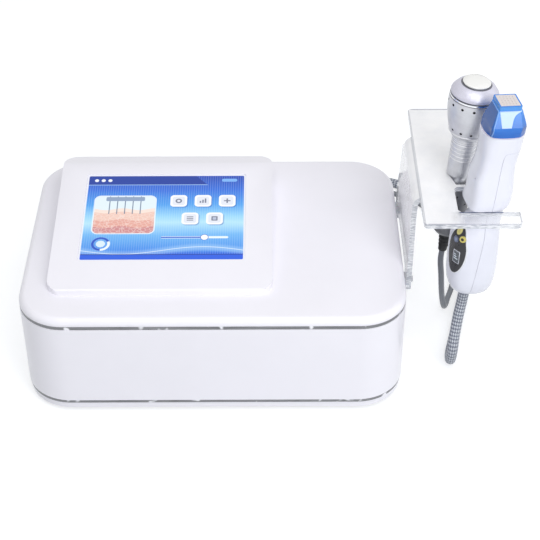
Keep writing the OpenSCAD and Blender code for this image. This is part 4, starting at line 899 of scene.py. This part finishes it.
def pale_front_patch(f, x, y, z):
    """1 in the pale patch on the front slope, whose right edge flares out at its top"""
    rise = f.ramp(z, *CARTRIDGE_SLOPE)
    left = f.ramp(rise, 0, 1, *PATCH_LEFT)
    flare = f.times(f.math("POWER", rise, 6), PATCH_FLARE)
    right = f.math("ADD", f.ramp(rise, 0, 1, *PATCH_RIGHT), flare)
    past_left = f.ramp(f.math("SUBTRACT", x, left), -0.3, 0.3, smooth=True)
    before_right = f.ramp(f.math("SUBTRACT", right, x), -0.3, 0.3, smooth=True)
    pale_patch = f.times(f.times(past_left, before_right), f.band(z, *CARTRIDGE_SLOPE, 0.3))
    return f.times(pale_patch, f.ramp(y, *PATCH_Y))


def cartridge_plastic():
    """Clear blue plastic with painted shade on its left flank and right chamfer, a painted highlight
    along its left edge, and a pale patch in front
    """
    f = Finish("Blue cartridge plastic")
    spot = f.place(NEEDLING)
    x, y, z = f.parts(spot)
    cloud = f.noise(spot, 12, 2)
    blue = f.mix(f.ramp(z, *CARTRIDGE_PALER), tint("#1767c6"), tint("#3484dc"))
    blue = f.mix(f.ramp(cloud, 0.3, 0.7, 0, 0.15), blue, tint("#1158b4"))
    from_left = f.math("SUBTRACT", x, f.ramp(z, *CARTRIDGE_SLOPE, *LEFT_EDGE))
    below_top = f.ramp(z, CARTRIDGE_TOP[0] + 1.5, CARTRIDGE_TOP[0])
    flank_shade = f.times(f.ramp(from_left, 0.5, -0.3, smooth=True), below_top)
    # Painted shade on the left flank, which faces away from the light
    blue = f.mix(f.times(flank_shade, 0.8), blue, tint("#154f9c"))
    # Painted highlight: a pale line along the left edge
    blue = f.mix(f.times(f.band(from_left, 0.1, 0.9, 0.3), 0.55), blue, tint("#9cc6f6"))
    # Painted shade on the right chamfer
    chamfer = f.math("SUBTRACT", f.math("SUBTRACT", x, y), f.ramp(z, *CARTRIDGE_SLOPE, *CHAMFER_EDGE))
    blue = f.mix(f.times(f.ramp(chamfer, 0, 1.2, smooth=True), 0.8), blue, tint("#123f88"))
    blue = f.mix(f.band(z, *CARTRIDGE_TOP, 0.3), blue, tint("#4d97e4"))
    blue = f.mix(f.band(z, *CARTRIDGE_FOOT, 0.3), blue, tint("#dcd6ea"))
    pale_patch = pale_front_patch(f, x, y, z)
    f.set(
        Base_Color=f.mix(f.times(pale_patch, 0.9), blue, tint("#bdd6ff")),
        Roughness=f.ramp(cloud, 0.3, 0.7, 0.12, 0.18),
        Normal=f.relief(f.noise(spot, 1.5, 2), 0.006),
        Specular_IOR_Level=0.4,
        Coat_Weight=0.15,
        Coat_Roughness=0.05,
    )
    return f.material


def needle_face():
    return moulded_finish("Needle face plastic", "#dcd5d4", 0.4, 0.5, 0.02, 0.06, NEEDLING).material


def gilded():
    return bare_metal(
        "Gilded needles", "#c79a4a", "#e6c67c", size=0.6, stretch=(1, 1, 6),
        gloss=(0.15, 0.3), depth=0.005, detail=3, piece_frame=NEEDLING,
    )


def cold_ceramic():
    return moulded_finish("Cold plate", "#f0f0ee", 0.2, 0.7, 0.006, 0.02, COOLING).material


CONE_LOW = 91.2
CONE_TOP = 102.2
BARREL_TOP = 88
# Height, number, first angle and radius of each row of holes in the barrel
HOLE_ROWS = [(83.5, 13, 210, 22.9), (55.5, 12, 212, 19)]
HOLE_R = 1.3
HOLE_SOFT = 0.15
# Heights of the grip's groove lips, where a painted highlight runs round
GROOVE_LIPS = (21, 25.4, 29.8, 34.2, 38.6, 41, 43)


def cone_coat():
    """Pale satin coat with a very fine sparkle, a painted shade line under the cold plate at its top,
    and a dark joint line with the chrome ring at its foot
    """
    f = Finish("Pale cone coat")
    spot = f.place(COOLING)
    _, _, z = f.parts(spot)
    fleck = f.noise(spot, 0.45, 2)
    pale = f.mix(f.ramp(fleck, 0.35, 0.7), tint("#c6c5d2"), tint("#dad9e7"))
    # Painted shade: a dark line just under the cold plate
    plate_shade_line = f.ramp(z, CONE_TOP - 0.5, CONE_TOP - 0.3)
    line = f.larger(plate_shade_line, f.ramp(z, CONE_LOW + 0.6, CONE_LOW + 0.4))
    f.set(
        Base_Color=f.mix(f.times(line, 0.85), pale, tint("#4a4c55")),
        Metallic=0.35,
        Roughness=f.ramp(fleck, 0.3, 0.7, 0.34, 0.42),
        Normal=f.relief(fleck, 0.012),
    )
    return f.material


def bright_chrome():
    """Mirror-bright ring with painted dark reflections along both of its edges"""
    f = Finish("Bright chrome")
    spot = f.place(COOLING)
    _, _, z = f.parts(spot)
    ring = f.noise(spot, 0.5, 2, stretch=(9, 9, 0.4))
    bright = f.mix(ring, tint("#d9dbe0"), tint("#fafafc"))
    # Painted reflection: outside this middle band the ring is painted dark grey
    clear = f.band(z, BARREL_TOP + 0.7, CONE_LOW - 0.9, 0.25)
    f.set(
        Base_Color=f.mix(clear, tint("#7e8088"), bright),
        Metallic=1.0,
        Roughness=f.ramp(ring, 0.2, 0.8, 0.1, 0.16),
        Normal=f.relief(ring, 0.004),
    )
    return f.material


def hole_row(f, spot, height, count, first, radius):
    """1 at the mouths of a row of holes round the barrel, where painted shade darkens them"""
    x, y, z = f.parts(spot)
    turn = f.math("SUBTRACT", f.math("ARCTAN2", y, x), math.radians(first))
    step = f.times(turn, count / (2 * math.pi))
    away = f.math("SUBTRACT", f.math("FRACT", f.math("ADD", step, count + 0.5)), 0.5)
    side = f.times(away, 2 * math.pi * radius / count)
    rise = f.math("SUBTRACT", z, height)
    reach = f.math("SQRT", f.math("ADD", f.times(side, side), f.times(rise, rise)))
    return f.ramp(reach, HOLE_R + HOLE_SOFT, HOLE_R - HOLE_SOFT)


def satin_metal():
    """Satin silver turned about the handpiece's axis, with painted shade in its holes and painted
    highlights on its groove lips
    """
    f = Finish("Satin silver")
    spot = f.place(COOLING)
    _, _, z = f.parts(spot)
    turning = f.noise(spot, 0.5, 4, stretch=(12, 12, 0.5))
    cloud = f.noise(spot, 9, 3)
    shade = f.mix(turning, tint("#bebfc4"), tint("#dfe0e4"))
    shade = f.mix(f.ramp(cloud, 0.3, 0.7, 0, 0.3), shade, tint("#b0b1b6"))
    # Painted highlights: a pale band on each groove lip
    for at in GROOVE_LIPS:
        lip_highlight = f.band(z, at - 0.2, at + 0.3, 0.15)
        shade = f.mix(f.times(lip_highlight, 0.75), shade, tint("#fafafc"))
    # Painted shade: the hole mouths are painted near black
    for row in HOLE_ROWS:
        shade = f.mix(hole_row(f, spot, *row), shade, tint("#1d1d20"))
    f.set(
        Base_Color=shade,
        Metallic=0.85,
        Roughness=f.ramp(turning, 0.2, 0.8, 0.36, 0.46),
        Normal=f.relief(turning, 0.015),
    )
    return f.material


def housing_plastic():
    f = moulded_finish("Dark housing", "#77787c", 0.42, 0.6, 0.04, 0.12, COOLING)
    f.set(Metallic=0.3)
    return f.material


def relief_rubber():
    return moulded_finish("Relief rubber", "#1d1d1f", 0.6, 0.5, 0.04, 0.25, COOLING).material


# Strands each way round the sleeve, and the length of one crossing
BRAID_STRANDS = 14
BRAID_PITCH = 3.8


def braided_sleeve(length):
    """Woven sleeve: crossing strands of light and dark yarn that pass over and under each other, with
    painted shade in the gaps between them
    """
    f = Finish("Braided sleeve")
    uv = f.node("ShaderNodeTexCoord").outputs["UV"]
    along, around, _ = f.parts(uv)
    run = f.times(along, length / BRAID_PITCH)
    lap = f.times(around, BRAID_STRANDS)
    left = f.math("ADD", run, lap)
    right = f.math("SUBTRACT", run, lap)
    square = f.math("ADD", f.math("FLOOR", left), f.math("FLOOR", right))
    over = f.math("ABSOLUTE", f.math("MODULO", square, 2))
    hump_left = f.math("ABSOLUTE", f.math("SINE", f.times(left, math.pi)))
    hump_right = f.math("ABSOLUTE", f.math("SINE", f.times(right, math.pi)))
    strand = f.node("ShaderNodeMix", data_type="FLOAT")
    f.feed(strand.inputs[0], over)
    f.feed(strand.inputs[2], hump_left)
    f.feed(strand.inputs[3], hump_right)
    hump = strand.outputs[0]
    yarn = f.noise(f.place(), 0.35, 2)
    light = f.mix(yarn, tint("#b3b9c3"), tint("#d0d5dc"))
    dark = f.mix(yarn, tint("#62677a"), tint("#7d8290"))
    colour = f.mix(over, light, dark)
    f.set(
        # Painted shade: the strands darken towards their edges, in the gaps between them
        Base_Color=f.mix(f.ramp(hump, 0.3, 0.08), colour, tint("#4a4e57")),
        Roughness=f.ramp(yarn, 0.3, 0.7, 0.45, 0.7),
        Normal=f.relief(hump, 0.18),
        Sheen_Weight=0.2,
    )
    return f.material


def grey_jacket():
    f = moulded_finish("Grey cable jacket", "#7b7f86", 0.42, grain=0.5, depth=0.03, mottle=0.1)
    return f.material


FINISHES = {
    "case_white": case_plastic,
    "trim_grey": trim_strip,
    "screen_glass": lit_picture,
    "display_metal": display_back,
    "foot_rubber": foot_rubber,
    "screw_steel": screw_steel,
    "rear_metal": rear_panel_metal,
    "black_plastic": fitting_plastic,
    "guard_steel": plated_steel,
    "socket_metal": socket_metal,
    "board_green": board_lacquer,
    "sink_metal": sink_aluminium,
    "holder_clear": holder_sheet,
    "spacer_white": spacer_plastic,
    "handpiece_white": handpiece_plastic,
    "panel_dark": dark_panel,
    "display_silver": small_display,
    "collar_grey": collar_plastic,
    "cartridge_blue": cartridge_plastic,
    "needle_face_beige": needle_face,
    "needle_gold": gilded,
    "cold_plate_white": cold_ceramic,
    "cone_pale": cone_coat,
    "chrome": bright_chrome,
    "satin_silver": satin_metal,
    "housing_dark": housing_plastic,
    "relief_black": relief_rubber,
}

# Middle on the control panel, ring colour and middle colour of each key
KEYS = {
    "trigger_key": ((5.6, 16.4), "#dccf74", "#3a3522"),
    "mode_key": ((-1.6, 13.2), "#6f7894", "#8d97b2"),
    "level_key": ((-1.8, 21.6), "#e3d98c", "#cfc47a"),
}

# How far each shown piece's edges are rounded, in millimetres
EDGES = {
    "bottom_tray": 1.2, "lower_trim": 0.3, "body_band": 0.5, "upper_trim": 0.4, "top_cover": 0.5,
    "screen_bezel": 1.5, "touch_glass": 0.15, "rubber_feet": 0.5, "case_screws": 0.3, "rear_panel": 0.25,
    "rear_screws": 0.3, "mains_inlet": 0.4, "fuse_drawer": 0.3, "switch_frame": 0.3, "power_rocker": 0.4,
    "fan_frame": 0.4, "fan_rotor": 0.2, "fan_guard": 0.1, "rf_socket": 0.3, "ice_socket": 0.3,
    "holder_sheet": 0.3, "holder_spacers": 0.3, "holder_screws": 0.3, "rf_front_shell": 0.2,
    "rf_rear_shell": 0.2, "rf_panel": 0.12, "rf_display": 0.1, "cartridge_seat": 0.3, "rf_gland": 0.3,
    "trigger_key": 0.4, "mode_key": 0.4, "level_key": 0.4, "cartridge_body": 0.35,
    "cartridge_face": 0.12, "cold_plate": 0.3, "head_cone": 0.25, "chrome_ring": 0.4,
    "head_barrel": 0.25, "ribbed_grip": 0.15, "rear_housing": 0.3, "ice_relief": 0.3,
}
CABLE_SLOTS = ("braid_grey", "cable_grey")
# Degrees under which an edge is shaded smooth, and under which two faces become one
SMOOTH_UNDER = 32
FLAT_UNDER = 0.4
# Metres within which the corners of a solid's triangles are one
WELD = 2e-6


def finished_copy(node, edge):
    """A welded copy of a CAD solid with smooth faces and lightly rounded edges"""
    work = bmesh.new()
    work.from_mesh(frame["nodes"][node].data)
    bmesh.ops.remove_doubles(work, verts=work.verts, dist=WELD)
    flat = math.radians(FLAT_UNDER)
    bmesh.ops.dissolve_limit(work, angle_limit=flat, verts=work.verts, edges=work.edges)
    mesh = bpy.data.meshes.new(node)
    work.to_mesh(mesh)
    work.free()
    for extra in ("custom_normal", "sharp_edge"):
        if extra in mesh.attributes:
            mesh.attributes.remove(mesh.attributes[extra])
    mesh.shade_smooth()
    mesh.set_sharp_from_angle(angle=math.radians(SMOOTH_UNDER))
    piece = show(node + "_finished", mesh)
    bevel = piece.modifiers.new("Edge", "BEVEL")
    bevel.width = edge * MM
    bevel.segments = 2
    bevel.limit_method = "ANGLE"
    bevel.angle_limit = math.radians(SMOOTH_UNDER)
    bevel.harden_normals = True
    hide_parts(node)
    return piece


def dress_machine():
    """Every solid gets its finish, and those that show are replaced by a finished copy"""
    slots = {part["node"]: part["material_slot"] for part in frame["record"]["subparts"]}
    bodies = frame["record"]["behaviour"]["bodies"]
    body_of = {node: body for body, group in bodies.items() for node in group}
    made = {}
    for node, slot in slots.items():
        if slot in CABLE_SLOTS:
            continue
        if node in KEYS:
            middle, ring, centre = KEYS[node]
            finish = key_cap(node.replace("_", " ").capitalize(), middle, ring, centre)
        else:
            if slot not in made:
                made[slot] = FINISHES[slot]()
            finish = made[slot]
        piece = frame["nodes"][node]
        if node in EDGES:
            piece = finished_copy(node, EDGES[node])
            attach(piece, body_of[node])
        piece.data.materials.clear()
        piece.data.materials.append(finish)


# Room

LAMPS = [
    # Place, aim, width, height and watts of each lamp
    ((0.2, -0.9, 1.9), (0.0, 0.0, 0.1), 1.4, 1.4, 17),
    ((0.9, -1.6, 0.9), (0.1, 0.0, 0.1), 0.9, 1.3, 14),
    ((-1.7, -0.4, 0.8), (0.0, 0.0, 0.1), 0.9, 1.4, 1.2),
    ((1.6, 0.5, 1.0), (0.1, 0.0, 0.1), 0.8, 1.4, 3),
]
# What the world gives the object, while the camera, metal and glass see it as white
WORLD_LEVEL = 0.48
FLOOR_GLOW = 0.62
FLOOR_HALF = 4
FLOOR_BELOW = 0.0002


def seen_directly(tree):
    """1 where a camera, glossy or transmission ray meets the world or the floor"""
    path = tree.nodes.new("ShaderNodeLightPath")
    seen = path.outputs["Is Camera Ray"]
    for name in ("Is Glossy Ray", "Is Transmission Ray"):
        larger = tree.nodes.new("ShaderNodeMath")
        larger.operation = "MAXIMUM"
        tree.links.new(seen, larger.inputs[0])
        tree.links.new(path.outputs[name], larger.inputs[1])
        seen = larger.outputs[0]
    return seen


def light_room():
    """Four soft lamps and an even world"""
    for i, (at, aim, wide, high, watts) in enumerate(LAMPS):
        data = bpy.data.lights.new(f"Softbox {i + 1}", "AREA")
        data.shape = "RECTANGLE"
        data.size, data.size_y, data.energy = wide, high, watts
        lamp = bpy.data.objects.new(data.name, data)
        bpy.context.scene.collection.objects.link(lamp)
        lamp.location = at
        lamp.rotation_mode = "QUATERNION"
        lamp.rotation_quaternion = (Vector(aim) - Vector(at)).to_track_quat("-Z", "Y")
    world = bpy.data.worlds.new("Studio")
    world.use_nodes = True
    bpy.context.scene.world = world
    tree = world.node_tree
    level = tree.nodes.new("ShaderNodeMapRange")
    level.inputs["To Min"].default_value = WORLD_LEVEL
    level.inputs["To Max"].default_value = 1.0
    tree.links.new(seen_directly(tree), level.inputs["Value"])
    background = tree.nodes["Background"]
    background.inputs["Color"].default_value = (1, 1, 1, 1)
    tree.links.new(level.outputs[0], background.inputs["Strength"])


def lay_floor():
    """Pale floor that keeps the object's shadow and otherwise shows about white"""
    work = bmesh.new()
    bmesh.ops.create_grid(work, x_segments=1, y_segments=1, size=FLOOR_HALF)
    bmesh.ops.translate(work, verts=work.verts, vec=(0, 0, -FLOOR_BELOW))
    mesh = bpy.data.meshes.new("floor")
    work.to_mesh(mesh)
    work.free()
    floor = show("floor", mesh)
    f = Finish("Pale floor")
    spot = f.place()
    f.set(
        Base_Color=f.mix(f.noise(spot, 60, 2), tint("#b9bcc0"), tint("#bfc2c5")),
        Roughness=0.6,
        Specular_IOR_Level=0.2,
        Emission_Color=(1, 1, 1, 1),
        Emission_Strength=f.times(seen_directly(f.tree), FLOOR_GLOW),
    )
    mesh.materials.append(f.material)


place_camera()
lay_cables()
dress_machine()
light_room()
lay_floor()
bpy.context.scene.view_settings.view_transform = "Standard"
